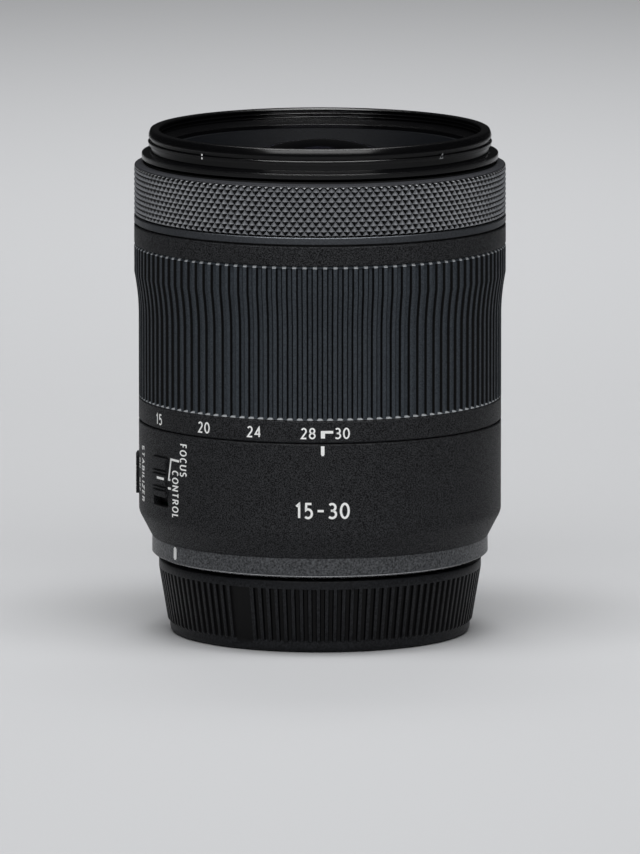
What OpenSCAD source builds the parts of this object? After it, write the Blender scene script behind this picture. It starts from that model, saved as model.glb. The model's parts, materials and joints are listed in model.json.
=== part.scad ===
// Wide-angle camera zoom lens, standing on its rear cap with the front element up.
// Origin: centre of the rear cap's underside. +Z runs along the optical axis to the front.
// Drawn at the long end of the zoom, with the iris open, the focus switch forward and the stabiliser's back.
// Angles are measured about +Z from +X. The side with the zoom index faces -Y (270 degrees).

/* [Outside radii] */
// Radius of the fixed barrel, and of the zoom grip at its waist
waist_r = 37.4; // [36:0.1:42]
// How far the knurl's tips and the zoom ring's front rim stand out from the barrel
flare = 0.9; // [0.4:0.1:1.4]
// How far the front rim, which a hood slides over, stands out from the sliding tube
rim_step = 3.6; // [3.4:0.1:4.2]
// How far the collar stands out from the front rim
collar_step = 1.4; // [0.8:0.1:1.6]
// Wall of the front rim outside the filter thread
rim_wall = 2.2; // [1.9:0.1:2.4]
// How far the grey ring above the mount is set in from the barrel
ring_step = 2.7; // [2:0.1:3.2]

/* [Heights along the axis] */
// Rear cap
cap_h = 15.2; // [14.5:0.1:18]
// Air between the cap's lip and the mount's flange
cap_gap = 0.8; // [0.4:0.1:1.2]
// Part of the mount's flange that shows below the grey ring
plate_show = 0.5; // [0.3:0.1:1]
// Grey ring above the mount
ring_h = 3.65; // [3:0.05:5]
// Cone of the fixed barrel
taper_h = 5; // [4:0.1:6.5]
// Radius of the round edge between the fixed barrel and its cone
barrel_round = 3; // [1:0.1:5]
// Straight part of the fixed barrel
rear_h = 19; // [17.5:0.1:24]
// Open seam between a turning ring and the fixed barrel
seam = 0.2; // [0.15:0.05:0.4]
// Smooth band with the focal length scale
scale_h = 4.6; // [4:0.1:6]
// Ribbed rubber grip
grip_h = 31.8; // [29:0.1:36]
// Smooth rim of the zoom ring in front of the grip
zoom_rim_h = 4.1; // [3:0.1:6]
// Washer between the zoom ring and the control ring
washer_t = 0.3; // [0.2:0.05:0.5]
// Bright trim ring at the foot of the control ring
trim_h = 1.4; // [1:0.1:2.5]
// Knurled band
knurl_h = 10.1; // [9:0.1:13]
// Shoulder in front of the knurl
shoulder_h = 0.5; // [0.4:0.1:1.5]
// Air between the control ring and the front collar at the long end
front_gap = 1.5; // [0.5:0.05:1.8]
// Front collar
collar_h = 0.85; // [0.8:0.05:2]
// Front rim with the filter thread
rim_h = 4.5; // [4.1:0.1:6]

/* [Walls and clearances] */
// Wall of the fixed barrel
barrel_wall = 1.6; // [1.4:0.1:1.8]
// Rubber of the grip at the waist, ribs included
grip_t = 1.1; // [0.95:0.05:1.4]
// Zoom ring under the rubber
zoom_wall = 1; // [0.8:0.1:1.2]
// Fixed sleeve that guides both zoom groups
guide_wall = 1.5; // [1.3:0.1:1.8]
// Cam barrel
cam_wall = 1.2; // [1:0.1:1.5]
// Sliding front tube
tube_wall = 1.3; // [1:0.1:1.6]
// Radial air between sleeves that turn or slide in each other
run_gap = 0.3; // [0.25:0.05:0.4]
// Air between faces that sit on each other
face_gap = 0.05; // [0.03:0.01:0.08]
// Radial air of a pin, rod or shaft in its bore
pin_gap = 0.05; // [0.03:0.01:0.08]
// Broken edge on moulded and turned parts
edge = 0.25; // [0.1:0.05:0.35]

/* [Zoom grip] */
// Ribs round the grip
grip_ribs = 114; // [80:1:130]
// Width of one rib
grip_rib_w = 0.72; // [0.5:0.02:0.9]
// Depth of the grooves
grip_depth = 0.5; // [0.3:0.05:0.6]
// Height of the wide tier in front
grip_tier_h = 5.9; // [4:0.1:9]
// Height of the hollow curve from the wide tier to the waist
grip_blend_h = 8.5; // [6:0.1:12]
// Straight steps that draw the hollow curve
grip_blend_steps = 5; // [3:1:8]
// Sloping end of the ribs and grooves
grip_end = 0.45; // [0.3:0.05:0.8]
// How far the lip that closes the grooves in front lies below the rib tops
grip_lip_drop = 0.25; // [0.1:0.05:0.28]

/* [Control ring knurl] */
// Diamonds round the band
knurl_count = 150; // [100:2:160]
// Height of one diamond
knurl_pitch = 2.05; // [1.8:0.05:3]
// Depth of the grooves
knurl_depth = 0.5; // [0.3:0.05:0.6]
// Thickness of the knurled band, from its bore to the tips
knurl_t = 1; // [0.9:0.05:1.3]

/* [Rear cap] */
// Ribs round the cap, beside the smooth strip
cap_ribs = 116; // [80:1:130]
// Width of one rib
cap_rib_w = 0.85; // [0.5:0.05:1]
// Depth of the grooves
cap_rib_depth = 0.5; // [0.3:0.05:0.6]
// Wall of the cap below the grooves, at the foot
cap_wall = 1.6; // [1.2:0.1:2]
// How much the cap widens from its foot to its lip
cap_taper = 1.8; // [0.6:0.1:2.2]
// Air between the bayonet's lugs and the cap's bore
cap_room = 2.5; // [2:0.1:2.8]
// Plain foot below the ribs
cap_foot_h = 2.2; // [1.6:0.1:5]
// Plain lip above the ribs
cap_lip_h = 1.7; // [1.4:0.1:3]
// Width of the smooth strip in the ribs, in degrees
cap_strip = 6.6; // [3:0.2:15]
// Direction of the smooth strip
cap_strip_a = 240.2; // [0:0.1:360]
// Floor of the cap
cap_floor = 2.2; // [1.5:0.1:3]

/* [Mount] */
// How far the bayonet's lugs are set in from the grey ring, for a throat 54 mm across
lug_inset = 7.8; // [7:0.1:8.6]
// How far the lugs stand out from the bayonet's tube
lug_w = 1.5; // [1:0.1:1.8]
// Wall of the bayonet's tube
bayonet_wall = 1.4; // [1.1:0.1:1.6]
// Length of the bayonet's tube behind the flange
bayonet_h = 7.2; // [6.5:0.1:8]
// From the flange to the front of the lugs
lug_drop = 2.6; // [2.5:0.1:3]
// Thickness of the lugs
lug_t = 1.8; // [1.4:0.1:2]
// Sweep of one lug, in degrees
lug_sweep = 50; // [40:1:54]
// Thickness of the mount's flange
plate_t = 1.4; // [1.2:0.1:1.8]
// How far the flange is set in from the grey ring
plate_step = 1.1; // [0.8:0.1:1.5]
// Distance of the mount screws from the bayonet's tube
screw_step = 4.2; // [3.6:0.1:5]
// Number of mount screws
screw_count = 4; // [3:1:6]
// Direction of the first mount screw, from the index mark
screw_turn = 45; // [0:1:90]
// Radius of the mount screws' shanks
screw_r = 0.8; // [0.6:0.1:1]
// Radius of the mount screws' heads
screw_head_r = 1.5; // [1.3:0.1:1.8]
// Height of the mount screws' heads
screw_head_h = 0.8; // [0.6:0.1:1]
// Radius of the hole for the lock pin
lock_hole_r = 1.5; // [1.2:0.1:1.8]
// Direction of the mount's index mark
index_a = 210.3; // [0:0.1:360]
// Number of contact pins
contact_count = 12; // [8:1:14]
// Radius of one contact pin
contact_r = 0.55; // [0.4:0.05:0.7]
// Angle from one contact pin to the next
contact_step = 5.4; // [4.6:0.1:5.6]
// Width of the contact block
contact_w = 5.5; // [4.8:0.1:6.2]

/* [Zoom drive] */
// Turn of the zoom ring from the long end to the wide end
zoom_turn = 64; // [40:1:70]
// How far the front group runs out at the wide end
front_travel = 8; // [5:0.5:9]
// How far the rear group runs back at the wide end
rear_travel = 12; // [8:0.5:12]
// Radius of the cam followers
follower_r = 1.6; // [1.3:0.1:1.8]
// Air beside a follower in its slots
slot_gap = 0.3; // [0.2:0.05:0.4]
// Width of the drive key round the ring
key_w = 5; // [4:0.5:7]
// Height of the drive key
key_h = 3.4; // [3:0.1:3.8]
// Direction of the drive key
key_a = 60; // [0:1:360]

/* [Front group] */
// Radius of the front element's edge
front_glass_r = 24; // [22:0.1:26]
// Radius of curvature of the front element
front_dome_r = 39; // [37:0.5:44]
// From the front rim down to the top of the front element
dome_drop = 2.4; // [2.4:0.1:3]
// Height of the front element's edge above its seat
front_edge_t = 4; // [3:0.1:4.5]
// Radius of the second element's edge
second_glass_r = 17.5; // [16:0.1:18.4]
// Radius of the third element's edge
third_glass_r = 14; // [13:0.1:15]
// Wall of the front lens cell
cell_wall = 2; // [1.6:0.1:2.4]
// Length of the filter thread's wall
thread_h = 2; // [1.6:0.1:2.2]
// Width of the sloping name ring's seat on the front tube
name_seat_w = 0.8; // [0.6:0.1:1]

/* [Rear zoom group] */
// Length of the carriage
carriage_h = 16; // [15:0.2:17.4]
// Wall of the carriage above its ledge
carriage_wall = 2.1; // [1.8:0.1:2.4]
// Floor of the carriage
carriage_floor = 1.5; // [1.2:0.1:1.8]
// Width of the ledge that the iris sits on
iris_ledge = 1; // [0.8:0.1:1.4]
// Height of the room for the stabiliser
stabiliser_h = 5.8; // [5.4:0.1:6.2]
// Radius of the carriage's own element
carriage_glass_r = 10.9; // [10:0.1:12]

/* [Iris] */
// Number of blades
blade_count = 7; // [7:1:7]
// Radius of the open aperture
open_r = 9.3; // [8.6:0.1:9.8]
// Air between the open blades and the blade pivots' circle
blade_room = 1.8; // [1.5:0.1:2.2]
// Sweep of one blade, in degrees
blade_sweep = 118; // [100:1:125]
// Thickness of one blade
blade_t = 0.15; // [0.1:0.01:0.18]
// Height from one blade to the next
blade_step = 0.3; // [0.28:0.01:0.32]
// Radius of the circle of blade pivots
pivot_circle_r = 15; // [14.4:0.1:15.6]
// Radius of the blade pivots
pivot_r = 0.6; // [0.5:0.05:0.7]
// Distance of a blade's drive pin from its pivot
drive_arm = 5; // [4.6:0.1:5.4]
// Radius of the drive pins
drive_r = 0.5; // [0.4:0.05:0.6]
// Turn of one blade from open to closed
blade_turn = 26; // [15:1:27]
// Thickness of the drive ring
drive_ring_t = 0.8; // [0.6:0.05:0.9]
// Thickness of the iris base and cover
iris_plate_t = 1; // [0.8:0.1:1.1]
// Radius of the iris motor
iris_motor_r = 3.6; // [3:0.1:4]
// Direction of the iris motor
iris_motor_a = 250; // [0:1:360]

/* [Stabiliser] */
// Radius of the stabiliser's element
stabiliser_glass_r = 9.5; // [8.6:0.1:10]
// Air between the guide shaft's bend and the carriage's ledge
shaft_room = 2.4; // [2.2:0.1:3]
// Radius of the guide shaft
shaft_r = 0.55; // [0.4:0.05:0.6]
// Travel to each side
shift = 0.8; // [0.4:0.1:0.9]
// Air between a coil and the hub of the stabiliser's frame
coil_room = 0.55; // [0.3:0.05:1]
// Outer radius of one coil
coil_r = 4.4; // [4:0.1:4.8]

/* [Focus] */
// Radius of the focus element
focus_glass_r = 11; // [10:0.1:12]
// Travel to each side
focus_travel = 2.5; // [1.5:0.1:2.8]
// Radius of the guide rods
rod_r = 1; // [0.8:0.1:1.1]
// Distance of the guide rods from the wall of the rear frame
rod_inset = 7; // [5:0.1:8]
// Direction of the first guide rod, with the other one opposite
rod_a = 100; // [0:1:360]
// Radius of the focus motor
motor_r = 4; // [3.5:0.1:4.4]
// Height of the focus motor
motor_h = 5; // [4.6:0.1:5.6]
// Air between the focus motor and the wall of the rear frame
motor_room = 2; // [1:0.1:2.6]
// Direction of the focus motor
motor_a = 190; // [0:1:360]
// Radius of the lead screw
lead_r = 0.9; // [0.7:0.05:1]

/* [Switches] */
// Direction of the focus switch
focus_switch_a = 208.8; // [0:0.1:360]
// Direction of the stabiliser switch
stabiliser_switch_a = 178; // [0:0.1:360]
// Half of a switch knob's sweep, in degrees
knob_half = 4.4; // [4:0.1:5.4]
// Length of a switch knob
knob_h = 8; // [7:0.1:9]
// How far a knob stands out of the barrel
knob_out = 0.6; // [0.4:0.1:0.8]
// Travel of a switch
switch_travel = 1.9; // [1.5:0.1:2.2]
// Distance from the barrel's front edge down to the slots
slot_drop = 5.4; // [4.4:0.1:5.8]
// Air round a knob in its slot
knob_gap = 0.2; // [0.15:0.05:0.25]

/* [Hidden] */
$fn = 128;

// How far a cut runs past the face that it opens
over = 1;
// How far a piece of one solid is sunk into the rest of it
root = 0.5;

// Heights of the outside, from the cap upwards
flange_z = cap_h + cap_gap;
ring_z0 = flange_z + plate_show;
ring_z1 = ring_z0 + ring_h;
barrel_z0 = ring_z1 + face_gap;
barrel_z1 = barrel_z0 + taper_h;
barrel_z2 = barrel_z1 + rear_h;
zoom_z0 = barrel_z2 + seam;
grip_z0 = zoom_z0 + scale_h;
grip_z1 = grip_z0 + grip_h;
zoom_z1 = grip_z1 + zoom_rim_h;
washer_z0 = zoom_z1 + face_gap;
control_z0 = washer_z0 + washer_t + face_gap;
trim_z1 = control_z0 + trim_h;
knurl_z0 = trim_z1 + seam;
knurl_z1 = knurl_z0 + knurl_h;
control_z1 = knurl_z1 + face_gap + shoulder_h;
collar_z0 = control_z1 + front_gap;
collar_z1 = collar_z0 + collar_h;
front_z = collar_z1 + rim_h;

// Radii of the nested sleeves, from the outside inwards
max_r = waist_r + flare;
knurl_in_r = max_r - knurl_t;
barrel_in_r = waist_r - barrel_wall;
shell_r = waist_r - grip_t;
zoom_in_r = shell_r - zoom_wall;
guide_r = zoom_in_r - run_gap;
guide_in_r = guide_r - guide_wall;
cam_r = guide_in_r - run_gap;
cam_in_r = cam_r - cam_wall;
tube_r = cam_in_r - run_gap;
tube_in_r = tube_r - tube_wall;

// Radii of the front rim
rim_r = tube_r + rim_step;
collar_r = rim_r + collar_step;
thread_r = rim_r - rim_wall;

// Radii of the mount and the rear cap
ring_r = waist_r - ring_step;
plate_r = ring_r - plate_step;
lug_r = ring_r - lug_inset;
bayonet_r = lug_r - lug_w;
bayonet_in_r = bayonet_r - bayonet_wall;
screw_circle_r = bayonet_r + screw_step;
ring_bore_gap = 0.6;
ring_in_r = bayonet_r + ring_bore_gap;
cap_bore_r = lug_r + cap_room;
cap_foot_r = cap_bore_r + cap_wall + cap_rib_depth;
cap_r = cap_foot_r + cap_taper;

// Fixed barrel, mount and rear frame
barrel_floor = 1.5;
taper_lip = 0.1;
taper_r = ring_r + taper_lip;
floor_w = 3.3;
floor_in_r = taper_r - floor_w;
frame_z0 = barrel_z0 + barrel_floor + face_gap;
frame_floor = 1.65;
frame_z1 = frame_z0 + frame_floor;
frame_gap = 0.2;
frame_r = guide_in_r - frame_gap;
frame_hole_w = 2.5;
frame_hole_r = focus_glass_r + frame_hole_w;
ledge_t = 0.9;
ledge_rise = 0.3;
ledge_z1 = barrel_z1 + ledge_rise;
ledge_r = guide_r - frame_gap;
plate_z1 = flange_z + plate_t;
bayonet_z0 = flange_z - bayonet_h;
lug_z1 = flange_z - lug_drop;
lug_z0 = lug_z1 - lug_t;
lock_turn = 90;
screw_tail = 0.5;
board_t = 1;
board_gap = 1;
board_edge = 0.3;
rear_tube_r = bayonet_in_r - contact_w;
board_in_r = rear_tube_r + board_gap;
rear_wall = 2.6;
rear_glass_r = rear_tube_r - rear_wall;
rear_glass_t = 5.5;
rear_glass_curve = 40;
rear_lip_t = 0.8;
rear_lip_w = 1.3;
rear_inset = 0.8;
rear_cell_z0 = bayonet_z0 + rear_inset;
rear_cell_gap = 0.15;
rear_cell_z1 = ring_z1 - rear_cell_gap;
rear_flange_r = ring_in_r - frame_gap;
contact_inset = 0.9;
contact_z0 = bayonet_z0 + contact_inset;
contact_circle_r = bayonet_in_r - contact_w / 2;
contact_turn = 180;
contact_half = (contact_count - 1) * contact_step / 2;
contact_out = 0.35;
contact_depth = 1;
contact_margin = 8;

// Barrel: flats along the round edge above its cone
round_steps = 6;

// Grip: how sharply the hollow curve swings out to the wide tier
grip_blend_power = 1.8;

// Zoom drive: heights of the followers at the long end
slot_half = follower_r + slot_gap;
rear_follow_rise = 1.2;
rear_follow_z = zoom_z0 + rear_travel + rear_follow_rise;
key_rise = 6;
key_z = rear_follow_z + key_rise;
front_follow_rise = 6.3;
front_follow_z = key_z + front_follow_rise;
cam_margin = 2.2;
cam_z0 = rear_follow_z - rear_travel - slot_half - cam_margin;
cam_z1 = front_follow_z + front_travel + slot_half + cam_margin;
frame_z2 = cam_z0 - seam;
front_slots_a = 0;
rear_slots_a = 60;
cam_step = 8;
key_margin = 1.5;
key_sweep = asin(key_w / 2 / guide_in_r) + key_margin;
follower_out_r = guide_r - run_gap;

// Control ring and its retainer
guide_z1 = knurl_z1 - face_gap;
retainer_t = 0.8;
retainer_w = 0.8;
retainer_r = zoom_in_r + retainer_w;
recess_r = retainer_r + run_gap;
recess_z0 = guide_z1 - run_gap;
sensor_z = (knurl_z0 + knurl_z1) / 2;
sensor_h = 3;
sensor_a = 90;
sensor_sweep = 4;
sensor_slack = 0.1;
washer_r = waist_r + flare / 3;

// Front group
channel_d = 0.5;
channel_r = rim_r - channel_d;
channel_h = 1.3;
groove_d = 0.4;
groove_r = rim_r - groove_d;
groove_w = 0.7;
joint_drop = 2.4;
joint_z = front_z - joint_drop;
spigot_wall = 1.65;
spigot_r = rim_r - spigot_wall;
name_gap = 0.1;
name_r = tube_in_r + name_seat_w;
lip_r = name_r + name_gap;
lip_w = 0.7;
lip_drop = 3.1;
lip_z = front_z - lip_drop;
front_floor = 1.15;
collar_fall = 0.4;
front_floor_z = collar_z0 + front_floor;
seat_z = front_floor_z + face_gap;
tube_tail = 2.5;
tube_z0 = front_follow_z - tube_tail;
dome_z = front_z - dome_drop;
dome_centre_z = dome_z - front_dome_r;
front_edge_z = dome_centre_z + sqrt(pow(front_dome_r, 2) - pow(front_glass_r, 2));
front_seat_z = front_edge_z - front_edge_t;
front_dish_r = 21;
front_dish_half = 17.6;
name_over = 0.6;
name_air = 0.2;
name_in_r = front_glass_r - name_over;
name_in_z = dome_centre_z + sqrt(pow(front_dome_r, 2) - pow(name_in_r, 2)) + name_air;
name_lip = 0.4;
name_foot = 0.7;
name_drop = 0.6;
name_top = 0.3;
second_rise = 0.9;
second_top_z = front_seat_z + second_rise;
second_drop = 7.3;
second_seat_z = front_seat_z - second_drop;
second_top_r = 32;
second_dish_r = 20;
second_dish_half = 13;
third_t = 6;
third_curve_r = 40;
third_drop = 3.4;
third_z = second_seat_z - third_drop;
cell_lip = 1.4;
cell_lip_t = 1.2;
cell_slope = 0.3;
cell_lip_z = third_z - third_t / 2 + cell_lip_t - face_gap;
cell_tail = 0.1;
cell_z0 = third_z - third_t / 2 - cell_tail;
web_t = 4;

// Rear zoom group
carriage_z0 = rear_follow_z - carriage_h / 2;
carriage_z1 = carriage_z0 + carriage_h;
carriage_in_r = tube_r - carriage_wall;
carriage_ledge_r = carriage_in_r - iris_ledge;
carriage_bore_r = 13;
stage_z = carriage_z0 + carriage_floor;
iris_z0 = stage_z + stabiliser_h;
iris_z1 = iris_z0 + iris_plate_t;
iris_air = 0.1;
blade_z = iris_z1 + 2 * iris_air;
stack_z1 = blade_z + blade_step * blade_count;
drive_z0 = stack_z1 + iris_air;
drive_z1 = drive_z0 + drive_ring_t;
cover_z0 = drive_z1 + 3 * iris_air;
cover_z1 = cover_z0 + iris_plate_t;
blade_out_r = pivot_circle_r - blade_room;
drive_circle_r = pivot_circle_r + drive_arm;
drive_in_w = 1.8;
drive_in_r = drive_circle_r - drive_in_w;
drive_out_w = 1.4;
drive_out_r = drive_circle_r + drive_out_w;
drive_lip_gap = 0.15;
drive_lip_r = drive_out_r + drive_lip_gap;
drive_lip_w = 1.2;
drive_slack = 0.15;
drive_pin_z1 = drive_z1 - face_gap;
drive_close_r = sqrt(pow(pivot_circle_r, 2) + pow(drive_arm, 2)
  + 2 * pivot_circle_r * drive_arm * cos(blade_turn));
pivot_top = 0.4;
blade_head_r = 1.6;
blade_ear_r = 1.1;
iris_plate_r = carriage_in_r - iris_air;
base_in_r = open_r - iris_air;
cover_in_r = open_r + 2 * iris_air;
collar_wall = 1.6;
collar_top = 2.9;
collar_in_r = carriage_glass_r + pin_gap;
carriage_glass_t = 5.5;
carriage_glass_curve = 30;
carriage_glass_rise = 2.1;
carriage_glass_z = cover_z1 + carriage_glass_rise;
iris_motor_room = 2.4;
iris_motor_offset = carriage_in_r - iris_motor_r - iris_motor_room;
iris_motor_gap = 0.2;

// Stabiliser
stage_hub_wall = 3;
stage_hub_r = stabiliser_glass_r + pin_gap + stage_hub_wall;
stage_hub_h = 4;
stage_gap = 1.2;
stage_curve = 42;
hub_z0 = stage_z + stage_gap;
hub_z1 = hub_z0 + stage_hub_h;
arm_t = 1;
arm_root_r = stabiliser_glass_r + over;
coil_offset = stage_hub_r + coil_room + coil_r;
coil_hole_r = 2.2;
coil_t = 1.25;
coil_margin = 0.4;
magnet_w = 7;
magnet_t = 0.75;
shaft_drop = 1.5;
shaft_z = hub_z1 - shaft_drop;
shaft_offset = (carriage_ledge_r - shaft_room) / sqrt(2);
bearing_w = 2.6;
bearing_l = 3;
bearing_places = [-9, 1];
bearing_top = 1.2;
shaft_reach = bearing_places[1] + bearing_l / 2 + shift + frame_gap;

// Focus
rod_offset = cam_in_r - rod_inset;
rod_gap = 0.8;
rod_z1 = carriage_z0 - rear_travel - rod_gap;
motor_offset = cam_in_r - motor_r - motor_room;
motor_z1 = frame_z1 + face_gap + motor_h;
nut_t = 1.6;
nut_r = 1.9;
nut_rise = 1.4;
nut_z = motor_z1 + focus_travel + face_gap + nut_t / 2;
focus_z = nut_z - nut_rise;
focus_hub_h = 4;
focus_hub_wall = 3;
focus_curve = 48;
sleeve_h = 5;
sleeve_wall = 1.2;
arm_w = 4;
lead_seat = 1.5;

// Switches
switch_angles = [focus_switch_a, stabiliser_switch_a];
slot_z1 = barrel_z2 - slot_drop;
slot_z0 = slot_z1 - knob_h - switch_travel - 2 * knob_gap;
knob_z1 = slot_z1 - knob_gap;
knob_z0 = knob_z1 - knob_h;
knob_r = waist_r + knob_out;
knob_slack = asin(knob_gap / barrel_in_r);
flange_t = 0.6;
flange_r = barrel_in_r - knob_gap;
flange_margin = 2.5;
flange_half = knob_half + flange_margin;
flange_over = 1.5;
knob_groove_w = 0.5;
knob_groove_d = 0.45;
knob_groove_places = [0.18, 0.27, 0.6, 0.69];
strip_t = 0.4;
strip_gap = 0.15;
strip_margin = 10;
strip_r = flange_r - flange_t - strip_gap;
relief_r = strip_r - strip_t - face_gap;
relief_drop = 1.3;
relief_z1 = barrel_z2 - relief_drop;

// Rear cap
cap_lip_z = cap_h - cap_lip_h;
cap_lug_gap = 0.5;
cap_lug_in_r = bayonet_r + cap_lug_gap;
cap_lug_air = 0.2;
cap_lug_z0 = lug_z1 + cap_lug_air;
cap_round = 1.1;
cap_rib_step = (360 - cap_strip) / cap_ribs;
cap_rib_a = cap_strip_a + (cap_strip + cap_rib_step) / 2;

// Plain ring with a square section
module ring(r_in, r_out, z0, z1) {
  rotate_extrude()
    translate([r_in, z0])
      square([r_out - r_in, z1 - z0]);
}

// Part of such a ring, a_half to each side of direction a
module arc_block(r_in, r_out, z0, z1, a, a_half) {
  rotate([0, 0, a - a_half])
    rotate_extrude(angle = 2 * a_half)
      translate([r_in, z0])
        square([r_out - r_in, z1 - z0]);
}

// Copies of the children round the axis
module around(count, start = 0) {
  for (i = [0 : count - 1])
    rotate([0, 0, start + i * 360 / count])
      children();
}

// Round pin that points away from the axis
module radial_pin(r, from_r, to_r, z) {
  translate([from_r, 0, z])
    rotate([0, 90, 0])
      cylinder(r = r, h = to_r - from_r);
}

// Upright pin
module pin(r, offset, z0, z1) {
  translate([offset, 0, z0])
    cylinder(r = r, h = z1 - z0);
}

// Lens that bulges above and is dished below
module meniscus(r, top_z, top_r, seat_z, dish_r, dish_half) {
  difference() {
    intersection() {
      translate([0, 0, seat_z])
        cylinder(r = r, h = top_z - seat_z + over);
      translate([0, 0, top_z - top_r])
        sphere(r = top_r);
    }
    translate([0, 0, seat_z - sqrt(pow(dish_r, 2) - pow(dish_half, 2))])
      sphere(r = dish_r);
  }
}

// Lens that bulges on both sides
module biconvex(r, mid_z, t, curve_r) {
  intersection() {
    translate([0, 0, mid_z - t / 2])
      cylinder(r = r, h = t);
    translate([0, 0, mid_z + t / 2 - curve_r])
      sphere(r = curve_r);
    translate([0, 0, mid_z - t / 2 + curve_r])
      sphere(r = curve_r);
  }
}

// Outline of ribs of width rib_w at the given angles, from r_in to r_out
module rib_outline(angles, rib_w, r_in, r_out) {
  for (a = angles)
    rotate(a)
      translate([r_in, -rib_w / 2])
        square([r_out - r_in, rib_w]);
}

// Straight slot along the axis with round ends, through a sleeve
module axial_slot(r_in, r_out, z0, z1) {
  radial_pin(slot_half, r_in, r_out, z0);
  radial_pin(slot_half, r_in, r_out, z1);
  translate([r_in, -slot_half, z0])
    cube([r_out - r_in, 2 * slot_half, z1 - z0]);
}

// Slanted cam slot: it climbs by rise while it turns back by zoom_turn
module cam_slot(z, rise) {
  steps = ceil(zoom_turn / cam_step);
  turn = zoom_turn / steps;
  mid_r = (cam_r + cam_in_r) / 2;
  chord = 2 * mid_r * sin(turn / 2);
  climb = rise / steps;
  length = sqrt(chord * chord + climb * climb) * cam_r / mid_r + slot_gap;
  for (end = [0, 1])
    rotate([0, 0, -end * zoom_turn])
      radial_pin(slot_half, cam_in_r - over, cam_r + over, z + end * rise);
  for (i = [0 : steps - 1])
    rotate([0, 0, -(i + 0.5) * turn])
      translate([mid_r, 0, z + (i + 0.5) * climb])
        rotate([-atan(climb / chord), 0, 0])
          cube([cam_wall + 2 * over, length, 2 * slot_half], center = true);
}

// Outline of the grip's ribs or, with the depth taken off, of its groove floors
function grip_curve(drop) = [
  for (i = [0 : grip_blend_steps])
    let (t = i / grip_blend_steps)
    [waist_r + (max_r - waist_r) * pow(t, grip_blend_power) - drop,
     grip_z1 - grip_tier_h - grip_blend_h * (1 - t)]
];

// Fixed outer barrel with its cone and the two switch slots
module outer_barrel() {
  cone = waist_r - taper_r;
  cone_a = atan(cone / taper_h);
  round_z = barrel_z1 + barrel_round * tan(cone_a / 2);
  color("#232426")
    difference() {
      rotate_extrude()
        polygon([
          [floor_in_r, barrel_z0],
          [taper_r, barrel_z0],
          for (i = [0 : round_steps])
            let (a = cone_a * (i / round_steps - 1))
            [waist_r - barrel_round * (1 - cos(a)), round_z + barrel_round * sin(a)],
          [waist_r, barrel_z2 - edge],
          [waist_r - edge, barrel_z2],
          [barrel_in_r, barrel_z2],
          [barrel_in_r, barrel_z1],
          [barrel_in_r - cone * (1 - barrel_floor / taper_h), barrel_z0 + barrel_floor],
          [floor_in_r, barrel_z0 + barrel_floor]
        ]);
      for (a = switch_angles)
        arc_block(barrel_in_r - over, waist_r + over, slot_z0, slot_z1, a, knob_half + knob_slack);
    }
}

// Grey ring that carries the mount
module mount_ring() {
  color("#77787a")
    difference() {
      rotate_extrude()
        polygon([
          [plate_r + face_gap, ring_z0],
          [ring_r - edge, ring_z0],
          [ring_r, ring_z0 + edge],
          [ring_r, ring_z1],
          [ring_in_r, ring_z1],
          [ring_in_r, plate_z1 + face_gap],
          [plate_r + face_gap, plate_z1 + face_gap]
        ]);
      around(screw_count, index_a + screw_turn)
        pin(screw_r + pin_gap, screw_circle_r, ring_z0, ring_z1 + over);
    }
}

// Metal mount: flange, tube and three bayonet lugs
module bayonet_mount() {
  color("#c9cacc")
    difference() {
      union() {
        rotate_extrude()
          polygon([
            [bayonet_in_r, bayonet_z0],
            [bayonet_r - edge, bayonet_z0],
            [bayonet_r, bayonet_z0 + edge],
            [bayonet_r, flange_z],
            [plate_r - edge, flange_z],
            [plate_r, flange_z + edge],
            [plate_r, plate_z1],
            [bayonet_in_r, plate_z1]
          ]);
        for (i = [0 : 2])
          arc_block(bayonet_r - root, lug_r, lug_z0, lug_z1, index_a + i * 120, lug_sweep / 2);
      }
      around(screw_count, index_a + screw_turn) {
        pin(screw_r + pin_gap, screw_circle_r, flange_z - over, plate_z1 + over);
        pin(screw_head_r + pin_gap, screw_circle_r, flange_z - over, flange_z + screw_head_h);
      }
      rotate([0, 0, index_a + lock_turn])
        pin(lock_hole_r, screw_circle_r, flange_z - over, plate_z1 + over);
    }
}

// Screws that hold the mount
module mount_screws() {
  color("#9a9b9e")
    around(screw_count, index_a + screw_turn) {
      pin(screw_head_r, screw_circle_r, flange_z, flange_z + screw_head_h - face_gap);
      pin(screw_r, screw_circle_r, flange_z + screw_head_h / 2, ring_z1 - screw_tail);
    }
}

// Block that holds the electric contacts inside the bayonet
module contact_block() {
  color("#1c1c1e")
    difference() {
      arc_block(rear_tube_r + face_gap, bayonet_in_r - face_gap, contact_z0, plate_z1,
        index_a + contact_turn, contact_half + contact_margin);
      for (i = [0 : contact_count - 1])
        rotate([0, 0, index_a + contact_turn - contact_half + i * contact_step])
          pin(contact_r + pin_gap, contact_circle_r, contact_z0 - over,
            contact_z0 + contact_depth + face_gap);
    }
}

// Gold contact pins
module contact_pins() {
  color("#d8b25a")
    for (i = [0 : contact_count - 1])
      rotate([0, 0, index_a + contact_turn - contact_half + i * contact_step])
        pin(contact_r, contact_circle_r, contact_z0 - contact_out,
          contact_z0 + contact_depth);
}

// Inner rear frame: floor for the focus unit and foot of the fixed sleeve
module rear_frame() {
  color("#2e2f31")
    difference() {
      rotate_extrude()
        polygon([
          [frame_hole_r, frame_z0],
          [frame_r, frame_z0],
          [frame_r, ledge_z1 - ledge_t],
          [ledge_r, ledge_z1 - ledge_t],
          [ledge_r, ledge_z1],
          [frame_r, ledge_z1],
          [frame_r, frame_z2],
          [cam_in_r, frame_z2],
          [cam_in_r, frame_z1],
          [frame_hole_r, frame_z1]
        ]);
      around(2, rod_a)
        pin(rod_r + pin_gap, rod_offset, frame_z0 - over, frame_z1 + over);
    }
}

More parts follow.
